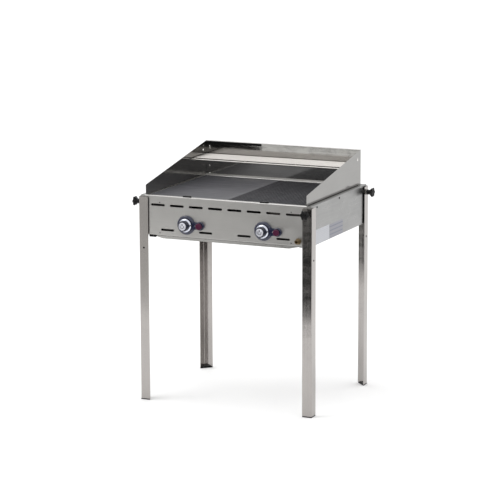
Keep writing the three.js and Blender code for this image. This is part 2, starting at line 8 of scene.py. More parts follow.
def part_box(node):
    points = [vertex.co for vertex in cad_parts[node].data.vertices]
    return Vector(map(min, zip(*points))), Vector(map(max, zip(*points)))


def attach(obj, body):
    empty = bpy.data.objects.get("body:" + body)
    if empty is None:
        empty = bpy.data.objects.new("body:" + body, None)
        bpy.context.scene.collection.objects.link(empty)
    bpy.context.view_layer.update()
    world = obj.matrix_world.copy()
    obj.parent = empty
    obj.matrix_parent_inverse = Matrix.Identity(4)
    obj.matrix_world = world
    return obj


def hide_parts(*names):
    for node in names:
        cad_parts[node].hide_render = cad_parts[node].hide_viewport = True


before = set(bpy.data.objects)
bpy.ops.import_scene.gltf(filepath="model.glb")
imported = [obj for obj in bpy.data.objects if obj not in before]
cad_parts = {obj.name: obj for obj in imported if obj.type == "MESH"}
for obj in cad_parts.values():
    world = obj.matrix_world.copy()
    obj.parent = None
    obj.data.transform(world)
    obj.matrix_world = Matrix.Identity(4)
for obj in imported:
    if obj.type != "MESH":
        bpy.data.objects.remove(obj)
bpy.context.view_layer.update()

# A gas charbroiler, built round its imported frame. The builders below work in millimetres, with X to
# the right, Y to the back and Z up, and with y = 0 midway between the front and rear panels.

MM = 0.001


def low(node):
    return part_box(node)[0] / MM


def high(node):
    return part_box(node)[1] / MM


def mid(node):
    return (low(node) + high(node)) / 2


# ---------------------------------------------------------------- places, from the frame's boxes

BEZEL_RADIUS = 38
RACK_RAIL_INSET = (3.2, 2.5)
MIDDLE = (low("front_panel").y + high("rear_panel").y) / 2
PANEL_X = high("side_panel_right").x
PANEL_Y = high("rear_panel").y - MIDDLE
BODY_BOTTOM = low("front_panel").z
BODY_TOP = high("front_panel").z
LEG_X = high("leg_front_right").x
LEG_Y = high("leg_rear_right").y - MIDDLE
LEG_BOTTOM = low("leg_front_right").z
LEG_TOP = high("leg_front_right").z
PLATE_Z = low("griddle").z
PLATE_TOP = high("griddle").z
PLATE_X = high("grate").x
PLATE_FRONT = low("griddle").y - MIDDLE
PLATE_BACK = high("griddle").y - MIDDLE
CONTROL_X = low("bezel_right").x + BEZEL_RADIUS
CONTROL_Z = mid("bezel_right").z
IGNITER = 60
RACK_Z = mid("warming_rack").z
RACK_FRONT = low("warming_rack").y - MIDDLE + RACK_RAIL_INSET[0]
RACK_REAR = high("warming_rack").y - MIDDLE - RACK_RAIL_INSET[1]
GUARD_X = high("guard_right").x
GUARD_TOP = high("guard_right").z
GUARD_FRONT = low("guard_right").y - MIDDLE
INLET_X = mid("gas_inlet").x
PIPE_Z = mid("gas_inlet").z
CLAMP_Z = mid("clamp_washer_front_left").z
TRAY_LOW = low("drip_tray").z

SHEET = 1.2
LEG_FLANGE = 40
LEG_SHEET = 2
RIM_SIDE = 17
RIM_FRONT = 18
RIM_REAR = 38
LEDGE_Z = BODY_TOP - 10
RIM_X = PANEL_X - RIM_SIDE
FRONT_LIP = -PANEL_Y + RIM_FRONT
REAR_LIP = PANEL_Y - RIM_REAR
RAIL_TOP = CONTROL_Z - 19.3
FACE = -PANEL_Y
RIM_SLOT = (37, 11)
RIM_SLOT_Y = FACE + 8
TRAY_Y = 284.3
RUNNER_END = TRAY_Y + 0.3 + SHEET
SHELF_HOLE_Z = 620
RAIL_Y = 202
RIDGE_Z = (752, 785)
SPARK_X = 28

SIDES = (("left", -1), ("right", 1))
# name, sign of x, sign of y, and the direction that its clamp stands out in
CORNERS = (
    ("front_left", -1, -1, (-1, 0)),
    ("front_right", 1, -1, (0, -1)),
    ("rear_right", 1, 1, (1, 0)),
    ("rear_left", -1, 1, (0, 1)),
)

# ---------------------------------------------------------------- meshes


class Mesh:
    """Points and faces of one or more closed shells, in millimetres, that stay clear of each other."""

    def __init__(self, points=(), faces=()):
        self.points = [Vector(p) for p in points]
        self.faces = [tuple(f) for f in faces]

    def __add__(self, other):
        start = len(self.points)
        moved = [tuple(i + start for i in f) for f in other.faces]
        return Mesh(self.points + other.points, self.faces + moved)

    def moved(self, matrix):
        return Mesh([matrix @ p for p in self.points], self.faces)

    def object(self, name):
        data = bpy.data.meshes.new(name)
        data.from_pydata([(p + Vector((0, MIDDLE, 0))) * MM for p in self.points], [], self.faces)
        made = added(name, data)
        bpy.context.view_layer.objects.active = made
        fix_normals(data)
        return made


def added(name, data):
    made = bpy.data.objects.new(name, data)
    bpy.context.scene.collection.objects.link(made)
    return made


def fix_normals(data):
    held = bmesh.new()
    held.from_mesh(data)
    bmesh.ops.remove_doubles(held, verts=held.verts, dist=1e-7)
    bmesh.ops.recalc_face_normals(held, faces=held.faces)
    held.to_mesh(data)
    held.free()


def joined(meshes):
    return sum(meshes, Mesh())


AXES = {
    "x": lambda a, b, along: (along, a, b),
    "y": lambda a, b, along: (a, along, b),
    "z": lambda a, b, along: (a, b, along),
}


def prism(axis, outline, start, end):
    """A closed outline extruded along an axis."""
    at = AXES[axis]
    count = len(outline)
    points = [at(a, b, along) for along in (start, end) for a, b in outline]
    faces = [(i, (i + 1) % count, (i + 1) % count + count, i + count) for i in range(count)]
    faces += [tuple(range(count)), tuple(range(count, 2 * count))]
    return Mesh(points, faces)


def span(side, a, b):
    """The range between two distances on one side of the middle, lowest first."""
    return sorted((side * a, side * b))


def block(xs, ys, zs):
    outline = [(xs[0], ys[0]), (xs[1], ys[0]), (xs[1], ys[1]), (xs[0], ys[1])]
    return prism("z", outline, zs[0], zs[1])


def folded(axis, path, thickness, start, end, radius=1.5, steps=6):
    """A folded strip of sheet, with round bends. A positive thickness lies to the left of the path."""
    path = [Vector(p) for p in path]
    face = []
    back = []

    def put(point, normal):
        face.append(point)
        back.append(point + normal * thickness)

    def left(run):
        return Vector((-run.y, run.x))

    runs = [(b - a).normalized() for a, b in zip(path, path[1:])]
    put(path[0], left(runs[0]))
    for corner, before, after in zip(path[1:], runs, runs[1:]):
        turn = math.atan2(before.cross(after), before.dot(after))
        side = 1 if turn > 0 else -1
        outer = radius + abs(thickness) if side * thickness > 0 else radius
        centre = corner - before * outer * math.tan(abs(turn) / 2) + left(before) * side * outer
        for step in range(steps + 1):
            spin = Matrix.Rotation(turn * step / steps, 2)
            normal = spin @ left(before)
            put(centre - normal * side * outer, normal)
    put(path[-1], left(runs[-1]))
    at = AXES[axis]
    count = len(face)
    points = [at(p.x, p.y, along) for along in (start, end) for p in face + back]
    far = 2 * count
    faces = []
    for i in range(count - 1):
        a, b, c, d = i, i + 1, count + i + 1, count + i
        faces += [(a, b, c, d), tuple(n + far for n in (a, b, c, d))]
        faces += [(a, b, b + far, a + far), (d, c, c + far, d + far)]
    for i in (0, count - 1):
        faces.append((i, count + i, far + count + i, far + i))
    return Mesh(points, faces)


def frame_along(direction):
    return Vector(direction).to_track_quat("Z", "Y").to_matrix().to_4x4()


def rings(loops, centre=None, direction=None):
    """A skin through loops with the same number of points each, closed at its ends. With a centre and a
    direction, the loops' points are (across, across, along that direction)."""
    count = len(loops[0])
    points = [p for loop in loops for p in loop]
    faces = []
    for row in range(len(loops) - 1):
        for i in range(count):
            j = (i + 1) % count
            a, b = row * count, (row + 1) * count
            faces.append((a + i, a + j, b + j, b + i))
    faces += [tuple(range(count)), tuple(range(len(points) - count, len(points)))]
    made = Mesh(points, faces)
    if direction is None:
        return made
    return made.moved(Matrix.Translation(Vector(centre)) @ frame_along(direction))


# the radius of the small flat that closes a turned piece on its axis
TIP = 0.02


def lobed(radius, depth, lobes, along, count):
    """A circle with rounded lobes."""
    radius = max(radius, TIP)
    loop = []
    for i in range(count):
        t = 2 * math.pi * i / count
        r = radius + depth * math.cos(lobes * t)
        loop.append((r * math.cos(t), r * math.sin(t), along))
    return loop


def circle(radius, along, count):
    return lobed(radius, 0, 0, along, count)


def turned(profile, centre, direction, count=48):
    """A turned piece: profile points are (radius, distance along the direction from the centre)."""
    loops = [circle(radius, along, count) for radius, along in profile]
    return rings(loops, centre, direction)


def ring(profile, centre, direction, count=48):
    """A turned piece whose profile closes on itself, leaving a hole."""
    loops = [circle(radius, along, count) for radius, along in profile]
    made = rings(loops + [loops[0]], centre, direction)
    return Mesh(made.points, made.faces[:-2])


def rod(start, end, radius, count=24, chamfer=0.0):
    start, end = Vector(start), Vector(end)
    length = (end - start).length
    profile = [(radius, chamfer), (radius, length - chamfer)]
    if chamfer:
        profile = [(radius - chamfer, 0)] + profile + [(radius - chamfer, length)]
    return turned(profile, start, end - start, count)


def control_rod(x, start, end, radius, count=32, chamfer=0.0):
    """A rod on a control's axis, between two distances behind the front panel's face."""
    return rod((x, FACE + start, CONTROL_Z), (x, FACE + end, CONTROL_Z), radius, count, chamfer)


def tube(points, radius, count=12):
    """A round wire along a line of points."""
    points = [Vector(p) for p in points]
    runs = [(b - a).normalized() for a, b in zip(points, points[1:])]
    runs = [runs[0]] + [(a + b).normalized() for a, b in zip(runs, runs[1:])] + [runs[-1]]
    side = runs[0].orthogonal().normalized()
    made = []
    for point, run in zip(points, runs):
        side = (side - run * side.dot(run)).normalized()
        other = run.cross(side)
        steps = [2 * math.pi * i / count for i in range(count)]
        made.append([point + (side * math.cos(t) + other * math.sin(t)) * radius for t in steps])
    return rings(made)


def curve(points, steps=8):
    """A smooth line through points."""
    points = [Vector(p) for p in points]
    ends = [2 * points[0] - points[1]] + points + [2 * points[-1] - points[-2]]
    line = []
    for a, b, c, d in zip(ends, ends[1:], ends[2:], ends[3:]):
        for step in range(steps):
            t = step / steps
            line.append(0.5 * (2 * b + (c - a) * t + (2 * a - 5 * b + 4 * c - d) * t * t
                               + (3 * b - a - 3 * c + d) * t * t * t))
    return line + [points[-1]]


def slot_outline(a, b, length, height, steps=10):
    radius = height / 2
    reach = length / 2 - radius
    outline = []
    for centre, start in ((a + reach, -90), (a - reach, 90)):
        for step in range(steps + 1):
            t = math.radians(start + 180 * step / steps)
            outline.append((centre + radius * math.cos(t), b + radius * math.sin(t)))
    return outline


def corner_tool(corner, inward, radius, steps=8):
    """The outline that is cut off a square corner to round it. inward holds the signs towards the sheet."""
    (a, b), (sa, sb) = corner, inward
    centre = (a + sa * radius, b + sb * radius)
    arc = []
    for step in range(steps + 1):
        t = math.pi / 2 * step / steps
        arc.append((centre[0] - sa * radius * math.sin(t), centre[1] - sb * radius * math.cos(t)))
    return [(a - sa * 2, b - sb * 2), (arc[0][0], b - sb * 2)] + arc + [(a - sa * 2, arc[-1][1])]


def combine(base, tool, operation):
    """Joins a Mesh to an object, or cuts it out."""
    held = tool.object("tool")
    change = base.modifiers.new("boolean", "BOOLEAN")
    change.operation = operation
    change.solver = "EXACT"
    change.object = held
    flatten(base)
    bpy.data.objects.remove(held)


def flatten(made):
    """Applies an object's modifiers to its mesh."""
    bpy.context.view_layer.update()
    shape = bpy.data.meshes.new_from_object(made.evaluated_get(bpy.context.evaluated_depsgraph_get()))
    made.modifiers.clear()
    made.data = shape


def shade(made, sharp):
    """Smooth shading, but for edges sharper than an angle."""
    fix_normals(made.data)
    made.data.shade_smooth()
    made.data.set_sharp_from_angle(angle=math.radians(sharp))


def build(name, base, cuts=(), add=(), bevel=0.0, sharp=32, bevel_steps=2):
    """Turns a Mesh into a Blender object: joins, cuts, small edge radii, smooth shading."""
    made = base.object(name)
    for part in add:
        combine(made, part, "UNION")
    for cut in cuts:
        combine(made, cut, "DIFFERENCE")
    if bevel:
        change = made.modifiers.new("edges", "BEVEL")
        change.width = bevel * MM
        change.segments = bevel_steps
        change.limit_method = "ANGLE"
        change.angle_limit = math.radians(sharp)
        change.use_clamp_overlap = True
        flatten(made)
    shade(made, sharp + 8)
    if bevel:
        change = made.modifiers.new("shading", "WEIGHTED_NORMAL")
        change.keep_sharp = True
        flatten(made)
    made.data.name = name
    return made


def piece(name, base, finish, body, slot, *nodes, **shaping):
    """Builds a piece and places it."""
    place(build(name, base, **shaping), finish, body, slot, *nodes)


def place(made, finish, body, slot, *nodes):
    """Gives a piece its material and its body, and hides the nodes that it stands for. The slot is not used.
    """
    made.data.materials.clear()
    made.data.materials.append(finish)
    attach(made, body)
    if nodes:
        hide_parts(*nodes)


# ---------------------------------------------------------------- materials


class Nodes:
    """Short calls that add shader nodes to a tree. place is the texture coordinate that they vary over."""

    def __init__(self, tree, place):
        self.tree = tree
        self.place = tree.nodes.new("ShaderNodeTexCoord").outputs[place]

    def node(self, kind, inputs, **settings):
        made = self.tree.nodes.new("ShaderNode" + kind)
        for key, value in settings.items():
            setattr(made, key, value)
        for key, value in inputs.items():
            self.put(made.inputs[key], value)
        return made

    def put(self, socket, value):
        if isinstance(value, bpy.types.NodeSocket):
            self.tree.links.new(value, socket)
        else:
            socket.default_value = value

    def noise(self, scale, detail=2.0, roughness=0.5, distortion=0.0):
        """Noise from 0 to 1. scale is features per metre, one number or one for each axis."""
        spread = (scale,) * 3 if isinstance(scale, (int, float)) else scale
        moved = self.node("Mapping", {"Vector": self.place, "Scale": spread}, vector_type="POINT")
        made = self.node("TexNoise", {
            "Vector": moved.outputs[0], "Scale": 1.0, "Detail": detail,
            "Roughness": roughness, "Distortion": distortion})
        return made.outputs["Fac"]

    def axis(self, letter):
        return self.node("SeparateXYZ", {"Vector": self.place}).outputs[letter]

    def range(self, value, from_low, from_high, to_low, to_high):
        made = self.node("MapRange", {
            "Value": value, "From Min": from_low, "From Max": from_high, "To Min": to_low, "To Max": to_high})
        return made.outputs["Result"]

    def math(self, operation, a, b=0.0):
        return self.node("Math", {0: a, 1: b}, operation=operation).outputs[0]

    def mix(self, share, a, b):
        a, b = ((*value, 1.0) if isinstance(value, tuple) else value for value in (a, b))
        return self.node("Mix", {0: share, 6: a, 7: b}, data_type="RGBA").outputs[2]

    def ramp(self, value, *stops):
        made = self.node("ValToRGB", {"Fac": value})
        ramp = made.color_ramp
        while len(ramp.elements) < len(stops):
            ramp.elements.new(0.5)
        for element, (position, colour) in zip(ramp.elements, stops):
            element.position = position
            element.color = (*colour, 1.0)
        return made.outputs["Color"]

    def edges(self, radius):
        """1 along outer edges, where handling wears a finish, and 0 elsewhere."""
        rounded = self.node("Bevel", {"Radius": radius * MM}, samples=4)
        plain = self.node("NewGeometry", {}).outputs["Normal"]
        same = self.node("VectorMath", {0: rounded.outputs[0], 1: plain}, operation="DOT_PRODUCT")
        return self.range(same.outputs["Value"], 0.97, 0.75, 0.0, 1.0)

    def bump(self, height, strength, distance, below=None):
        made = self.node("Bump", {"Height": height, "Strength": strength, "Distance": distance * MM})
        if below:
            self.put(made.inputs["Normal"], below)
        return made.outputs[0]


class Finish(Nodes):
    """A Principled material."""

    def __init__(self, name, **sockets):
        self.material = bpy.data.materials.new(name)
        self.material.use_nodes = True
        super().__init__(self.material.node_tree, "Object")
        self.shader = self.tree.nodes["Principled BSDF"]
        self.set(**sockets)

    def done(self, base, rough, normal):
        return self.set(base_color=base, roughness=rough, normal=normal)

    def set(self, **sockets):
        for key, value in sockets.items():
            label = key.replace("_", " ").title().replace("Ior", "IOR")
            self.put(self.shader.inputs[label], value)
        return self.material


def tone(colour, share):
    return tuple(c * share for c in colour)


def stainless(name, colour, rough, grain, streak=0.05, smudge=0.05, bump=0.05):
    """Rolled or brushed steel sheet, with its grain along one axis."""
    f = Finish(name, metallic=1.0)
    along = {"x": 0, "y": 1, "z": 2}[grain]
    fine = f.noise(tuple(9 if i == along else 1400 for i in range(3)), 2.0, 0.6)
    wide = f.noise(tuple(4 if i == along else 190 for i in range(3)), 3.0, 0.6)
    cloud = f.noise(5.5, 3.0, 0.55, 0.4)
    wiped = f.noise((16, 11, 23), 4.0, 0.6, 1.2)
    base = f.mix(f.range(cloud, 0.3, 0.7, 0.0, 1.0), tone(colour, 1 - smudge), tone(colour, 1 + smudge))
    base = f.mix(f.range(wide, 0.3, 0.7, 0.0, streak * 4), base, tone(colour, 0.82))
    base = f.mix(f.math("MULTIPLY", f.edges(1.2), 0.35), base, tone(colour, 1.18))
    coarse = f.range(wiped, 0.35, 0.7, rough - 0.03, rough + 0.05)
    varied = f.math("ADD", coarse, f.range(wide, 0.3, 0.7, -0.03, 0.03))
    normal = f.bump(fine, bump, 0.03, f.bump(cloud, 0.25, 0.35))
    return f.done(base, varied, normal)


# one stainless steel in several tones, set part by part: the darker tones on the side panels, the centre bar
# and the guard side walls are painted shade
STEEL = (0.40, 0.393, 0.381)
panel_steel = stainless("panel_stainless", tone(STEEL, 1.37), 0.34, "x")
shade_toned_side_steel = stainless("side_stainless_shade_toned", (0.304, 0.303, 0.299), 0.31, "y")
leg_steel = stainless("leg_stainless", (0.405, 0.383, 0.369), 0.135, "z", 0.05, 0.03, 0.03)
shade_toned_guard_steel = stainless("guard_stainless_shade_toned", tone(STEEL, 0.72), 0.11, "y", 0.05, 0.04, 0.03)
rear_guard_steel = stainless("rear_guard_stainless", tone(STEEL, 1.02), 0.09, "x", 0.05, 0.04, 0.03)
tray_steel = stainless("tray_stainless", tone(STEEL, 1.3), 0.3, "x", 0.05, 0.06)


def heat_steel():
    """Steel that flame has tinted straw, brown and blue, with soot; kept very dark as painted shade for the
    heat plates and burners under the cooking plates.
    """
    f = Finish("heat_tinted_shade_dark_steel", metallic=1.0)
    cloud = f.noise(9, 4.0, 0.6, 0.8)
    fine = f.noise((1200, 11, 1200), 2.0)
    tint = f.ramp(cloud, (0.25, (0.034, 0.033, 0.033)), (0.42, (0.036, 0.028, 0.022)),
                  (0.55, (0.026, 0.019, 0.017)), (0.66, (0.016, 0.017, 0.03)), (0.8, (0.03, 0.03, 0.03)))
    soot = f.range(f.noise(31, 5.0, 0.65), 0.5, 0.75, 0.0, 0.75)
    base = f.mix(soot, tint, (0.035, 0.032, 0.03))
    normal = f.bump(fine, 0.08, 0.04, f.bump(f.noise(150, 4.0), 0.25, 0.15))
    return f.done(base, f.range(cloud, 0.2, 0.8, 0.34, 0.62), normal)


def plain_metal(name, colour, rough, dirt=0.25, dark=0.5, scale=160, bump=0.12):
    """Cast, turned or coated metal with a little dirt and worn edges."""
    f = Finish(name, metallic=1.0)
    cloud = f.noise(38, 4.0, 0.6)
    fine = f.noise(scale * 9, 3.0)
    base = f.mix(f.range(cloud, 0.45, 0.75, 0.0, dirt), colour, tone(colour, dark))
    base = f.mix(f.math("MULTIPLY", f.edges(0.5), 0.4), base, tuple(min(1, c * 1.3) for c in colour))
    varied = f.range(f.noise(scale, 3.0), 0.3, 0.7, rough - 0.05, rough + 0.07)
    return f.done(base, varied, f.bump(fine, bump, 0.03))


brass = plain_metal("turned_brass", (0.17, 0.125, 0.07), 0.34, 0.6, 0.35)
chrome = plain_metal("chrome_plate", (0.62, 0.64, 0.72), 0.1, 0.1, 0.8, 120, 0.02)
cap_metal = plain_metal("satin_chrome", (0.80, 0.81, 0.88), 0.34, 0.1, 0.8, 120, 0.03)
zinc = plain_metal("zinc_plate", (0.62, 0.61, 0.58), 0.33, 0.3, 0.6)
# the manifold and burner rails are near-black: painted shade, for the dark seen through the front panel's
# slots
shade_dark_pipe_metal = plain_metal("aluminised_pipe", (0.055, 0.054, 0.053), 0.6, 0.5, 0.5)
stem_metal = plain_metal("stem_steel", (0.56, 0.55, 0.54), 0.28)
wire_metal = plain_metal("plated_wire", (0.50, 0.48, 0.455), 0.34, 0.12, 0.8, 200, 0.08)
# near-black rivet heads: painted shade
shade_dark_rivet = plain_metal("rivet_painted_shade", (0.06, 0.06, 0.06), 0.45, 0.2, 0.6)
rivet_metal = plain_metal("rivet_steel", (0.74, 0.73, 0.71), 0.2, 0.15, 0.6)


def cooking_iron(name, colour, rough, grain, joint_specks=0.0):
    """Black steel with a baked-on film of oil: wiped streaks, duller spots and worn corners."""
    f = Finish(name, metallic=0.0, specular_ior_level=0.5)
    along = {"x": 0, "y": 1}[grain]
    wiped = f.noise(tuple(5 if i == along else 46 for i in range(3)), 5.0, 0.6, 0.3)
    cloud = f.noise(7, 4.0, 0.6, 0.6)
    grit = f.noise(900, 3.0, 0.6)
    base = f.mix(f.range(cloud, 0.3, 0.7, 0.0, 1.0), tone(colour, 0.78), tone(colour, 1.2))
    base = f.mix(f.range(wiped, 0.5, 0.72, 0.0, 0.35), base, tone(colour, 1.7))
    base = f.mix(f.math("MULTIPLY", f.edges(0.9), 0.45), base, (0.16, 0.155, 0.15))
    # lighter specks, fading in over the 50 mm next to the griddle's edge at the grate
    if joint_specks:
        near = f.range(f.axis("X"), -0.050, -0.008, 0.0, joint_specks)
        specks = f.range(f.noise((330, 210, 330), 3.0, 0.6), 0.5, 0.66, 0.0, 1.0)
        base = f.mix(f.math("MULTIPLY", near, specks), base, (0.15, 0.148, 0.15))
    dull = f.range(cloud, 0.3, 0.7, rough - 0.05, rough + 0.05)
    varied = f.math("ADD", dull, f.range(wiped, 0.4, 0.7, 0.03, -0.06))
    normal = f.bump(grit, 0.22, 0.05, f.bump(wiped, 0.12, 0.15))
    return f.done(base, varied, normal)


griddle_iron = cooking_iron("griddle_iron", (0.043, 0.043, 0.051), 0.42, "x", 0.65)
grate_iron = cooking_iron("grate_iron", (0.034, 0.034, 0.040), 0.5, "y")


def moulded(name, colour, rough, coat=0.0, texture=0.1, worn=(0.12, 0.12, 0.13), dust=0.12, shine=0.5):
    """Moulded plastic with a fine spark-eroded grain, faint dust and rubbed edges."""
    f = Finish(name, metallic=0.0, coat_weight=coat, coat_roughness=0.1, specular_ior_level=shine)
    grain = f.noise(2600, 2.0)
    cloud = f.noise(60, 3.0)
    base = f.mix(f.range(cloud, 0.4, 0.75, 0.0, dust), colour, tuple(c * 1.5 + 0.006 for c in colour))
    base = f.mix(f.math("MULTIPLY", f.edges(0.7), 0.3), base, worn)
    varied = f.range(f.noise(240, 3.0), 0.3, 0.7, rough - 0.06, rough + 0.08)
    return f.done(base, varied, f.bump(grain, texture, 0.04))


black_plastic = moulded("black_nylon", (0.003, 0.003, 0.0035), 0.3, 0.0, 0.1, (0.03, 0.03, 0.03),
                        0.05, 0.2)
bezel_plastic = moulded("bezel_blue_black", (0.012, 0.016, 0.045), 0.24, 0.5, 0.05, (0.05, 0.06, 0.12))
knob_plastic = moulded("knob_blue_black", (0.011, 0.014, 0.028), 0.3, 0.3, 0.08, (0.06, 0.07, 0.10))
button_plastic = moulded("button_maroon", (0.060, 0.002, 0.026), 0.36, 0.0, 0.05, (0.10, 0.01, 0.045),
                         0.1, 0.3)
lead_rubber = moulded("lead_silicone", (0.35, 0.04, 0.025), 0.5, 0.0, 0.2, (0.3, 0.08, 0.06))
gasket = moulded("screw_black", (0.014, 0.014, 0.015), 0.42, 0.0, 0.15)


def dark_bracket():
    """Black powder coat with orange-peel and chipped edges."""
    f = Finish("black_powder_coat", metallic=0.0)
    peel = f.noise(420, 3.0, 0.55)
    chips = f.math("MULTIPLY", f.edges(0.8), f.range(f.noise(170, 4.0), 0.48, 0.6, 0.0, 1.0))
    base = f.mix(f.range(f.noise(20, 4.0), 0.4, 0.7, 0.0, 1.0), (0.014, 0.014, 0.015), (0.03, 0.029, 0.028))
    base = f.mix(chips, base, (0.22, 0.21, 0.2))
    rough = f.range(peel, 0.3, 0.7, 0.4, 0.58)
    return f.done(base, rough, f.bump(peel, 0.3, 0.08))


def porcelain():
    f = Finish("glazed_porcelain", metallic=0.0, coat_weight=0.6, coat_roughness=0.05)
    stain = f.noise(120, 4.0)
    base = f.mix(f.range(stain, 0.5, 0.8, 0.0, 0.5), (0.72, 0.69, 0.62), (0.36, 0.30, 0.22))
    rough = f.range(stain, 0.3, 0.7, 0.2, 0.4)
    return f.done(base, rough, f.bump(stain, 0.15, 0.1))


def sticker(name, colour, stripe, count, first, last, share, edge):
    """A blank printed foil label: soft horizontal bands between two heights, in metres, and no lettering."""
    f = Finish(name, metallic=0.35)
    turns = f.range(f.axis("Z"), first, last, 0.0, count)
    bands = f.math("FRACT", turns, 0.0)
    fall = f.range(bands, share, share + edge, 1.0, 0.0)
    mask = f.math("MULTIPLY", f.range(bands, 0.0, edge, 0.0, 1.0), fall)
    crinkle = f.noise(75, 4.0, 0.6, 0.7)
    base = f.mix(mask, colour, stripe)
    base = f.mix(f.range(crinkle, 0.45, 0.75, 0.0, 0.35), base, tone(colour, 1.25))
    normal = f.bump(crinkle, 0.35, 0.25, f.bump(f.noise(1500, 2.0), 0.08, 0.02))
    return f.done(base, f.range(crinkle, 0.3, 0.7, 0.3, 0.46), normal)


shade_dark_heat_tinted = heat_steel()
bracket_coat = dark_bracket()
glazed = porcelain()
silver_label = sticker("silver_label", (0.50, 0.51, 0.54), (0.36, 0.37, 0.40), 8, 0.676, 0.733, 0.3, 0.25)
blue_label = sticker("blue_grey_label", (0.25, 0.253, 0.285), (0.11, 0.115, 0.165), 4, 0.673, 0.735,
                     0.16, 0.14)

# ---------------------------------------------------------------- clamp places


def clamp_point(x, y, out):
    half = LEG_FLANGE / 2
    return (x * LEG_X, y * (LEG_Y - half)) if out[0] else (x * (LEG_X - half), y * LEG_Y)


def clamp_holes(radius, reach):
    made = []
    for _, x, y, out in CORNERS:
        a, b = clamp_point(x, y, out)
        start = (a + 2 * out[0], b + 2 * out[1], CLAMP_Z)
        made.append(rod(start, (a - reach * out[0], b - reach * out[1], CLAMP_Z), radius, 32))
    return joined(made)


# ---------------------------------------------------------------- body panels

VENT_PITCH = 82.5
UPPER_VENTS = [(n - 3.5) * VENT_PITCH for n in range(8)]
LOWER_VENTS = [n * VENT_PITCH for n in (-3, -1, 1, 3)]


def end_panel(name, facing, rim, extra):
    wall = facing * PANEL_Y
    inner = facing * (PANEL_Y - rim)
    ledge = inner - facing * 12
    path = [(wall - facing * 14, BODY_BOTTOM), (wall, BODY_BOTTOM), (wall, BODY_TOP), (inner, BODY_TOP),
            (inner, LEDGE_Z), (ledge, LEDGE_Z)]
    fold_x = PANEL_X - 18.3
    base = folded("x", path, facing * SHEET, -fold_x, fold_x)
    wings = joined(block(span(side, fold_x - 0.01, PANEL_X), span(facing, PANEL_Y, PANEL_Y - SHEET),
                         (BODY_BOTTOM + 1, BODY_TOP - 1)) for side in (-1, 1))
    ledge_x = RIM_X - 25.5
    near = sorted((wall - facing * 2, ledge - facing))
    corners = joined(block(span(side, ledge_x, PANEL_X + 1), near, (LEDGE_Z - 4, BODY_TOP - SHEET - 0.3))
                     for side in (-1, 1))
    vents = joined(prism("y", slot_outline(x, 795, 60.5, 9), wall - 3, wall + 3) for x in UPPER_VENTS)
    cuts = corners + vents + clamp_holes(4.9, 10) + extra
    return build(name, base, [cuts], [wings], bevel=0.25)


def front_cuts():
    near, far = FACE - 3, FACE + 3
    lower = [prism("y", slot_outline(x, 697, 57, 8.6), near, far) for x in LOWER_VENTS]
    round_holes = []
    for side in (-1, 1):
        x = side * CONTROL_X
        round_holes += [control_rod(x, -3, 3, 6), control_rod(x + IGNITER, -3, 3, 8),
                        prism("z", slot_outline(x, RIM_SLOT_Y, *RIM_SLOT), BODY_TOP - 3, BODY_TOP + 3)]
    inlet = rod((INLET_X, near, PIPE_Z), (INLET_X, far, PIPE_Z), 10, 32)
    return joined(lower + round_holes + [inlet])


made = end_panel("front_panel_sheet", -1, RIM_FRONT, front_cuts())
place(made, panel_steel, "root", "stainless", "front_panel")
made = end_panel("rear_panel_sheet", 1, RIM_REAR, Mesh())
place(made, panel_steel, "root", "stainless", "rear_panel")

for name, side in SIDES:
    path = [(PANEL_X - 18, BODY_BOTTOM), (PANEL_X, BODY_BOTTOM), (PANEL_X, BODY_TOP), (RIM_X, BODY_TOP),
            (RIM_X, LEDGE_Z), (RIM_X - 25, LEDGE_Z)]
    reach = PANEL_Y - SHEET - 0.3
    base = folded("y", [(side * x, z) for x, z in path], side * SHEET, -reach, reach)
    piece(f"side_panel_sheet_{name}", base, shade_toned_side_steel, "root", "stainless", f"side_panel_{name}",
          cuts=[clamp_holes(4.9, 10)], bevel=0.25)

    lip = low(f"tray_runner_{name}").z
    top = BODY_BOTTOM - 0.3 - SHEET
    path = [(313, lip), (330, lip), (330, top), (358, top)]
    base = folded("y", [(side * x, z) for x, z in path], side * SHEET, -RUNNER_END, RUNNER_END, 0.6, 4)
    stop = block(span(side, 313, 330), (TRAY_Y + 0.3, RUNNER_END), (lip + 0.1, top + SHEET))
    piece(f"tray_runner_channel_{name}", base, bracket_coat, "root", "dark_bracket", f"tray_runner_{name}",
          add=[stop], bevel=0.15)

# a black rubber buffer stands in each slot of the front rim: painted shade, for the dark seen in the slots
SHADE_BUFFER = ((-0.6, -2.5), (-0.6, 0.2), (0.3, 0.4), (0.3, 2.8), (-0.2, 4.2), (-1.0, 5.2), (-2.4, 5.7))
for name, side in SIDES:
    loops = []
    for spread, rise in SHADE_BUFFER:
        length, width = (size + 2 * spread for size in RIM_SLOT)
        outline = slot_outline(side * CONTROL_X, RIM_SLOT_Y, length, width)
        loops.append([(a, b, BODY_TOP + rise) for a, b in outline])
    piece(f"rim_shade_buffer_{name}", rings(loops), black_plastic, "root", "black_plastic", sharp=50)

# small round heads: four rivets on the front panel, coloured near-black as painted shade, and black screws
# near the top of each side panel
DOME = [(2.4, 0), (2.4, 0.25), (1.9, 0.8), (1.1, 1.15), (0, 1.25)]
heads = [turned(DOME, (x, FACE, z), (0, -1, 0), 20) for x in (-281, 281) for z in (805, 684)]
piece("front_panel_rivets", joined(heads), shade_dark_rivet, "root", "stainless")
SCREW = [(4.2, 0), (4.2, 0.7), (3.6, 1.6), (2.0, 1.9), (1.9, 1.2), (0, 1.2)]
for name, side in SIDES:
    heads = [turned(SCREW, (side * PANEL_X, y, 821), (side, 0, 0), 28) for y in (-230, -2, 230)]
    piece(f"side_panel_screws_{name}", joined(heads), gasket, "root", "dark_bracket")

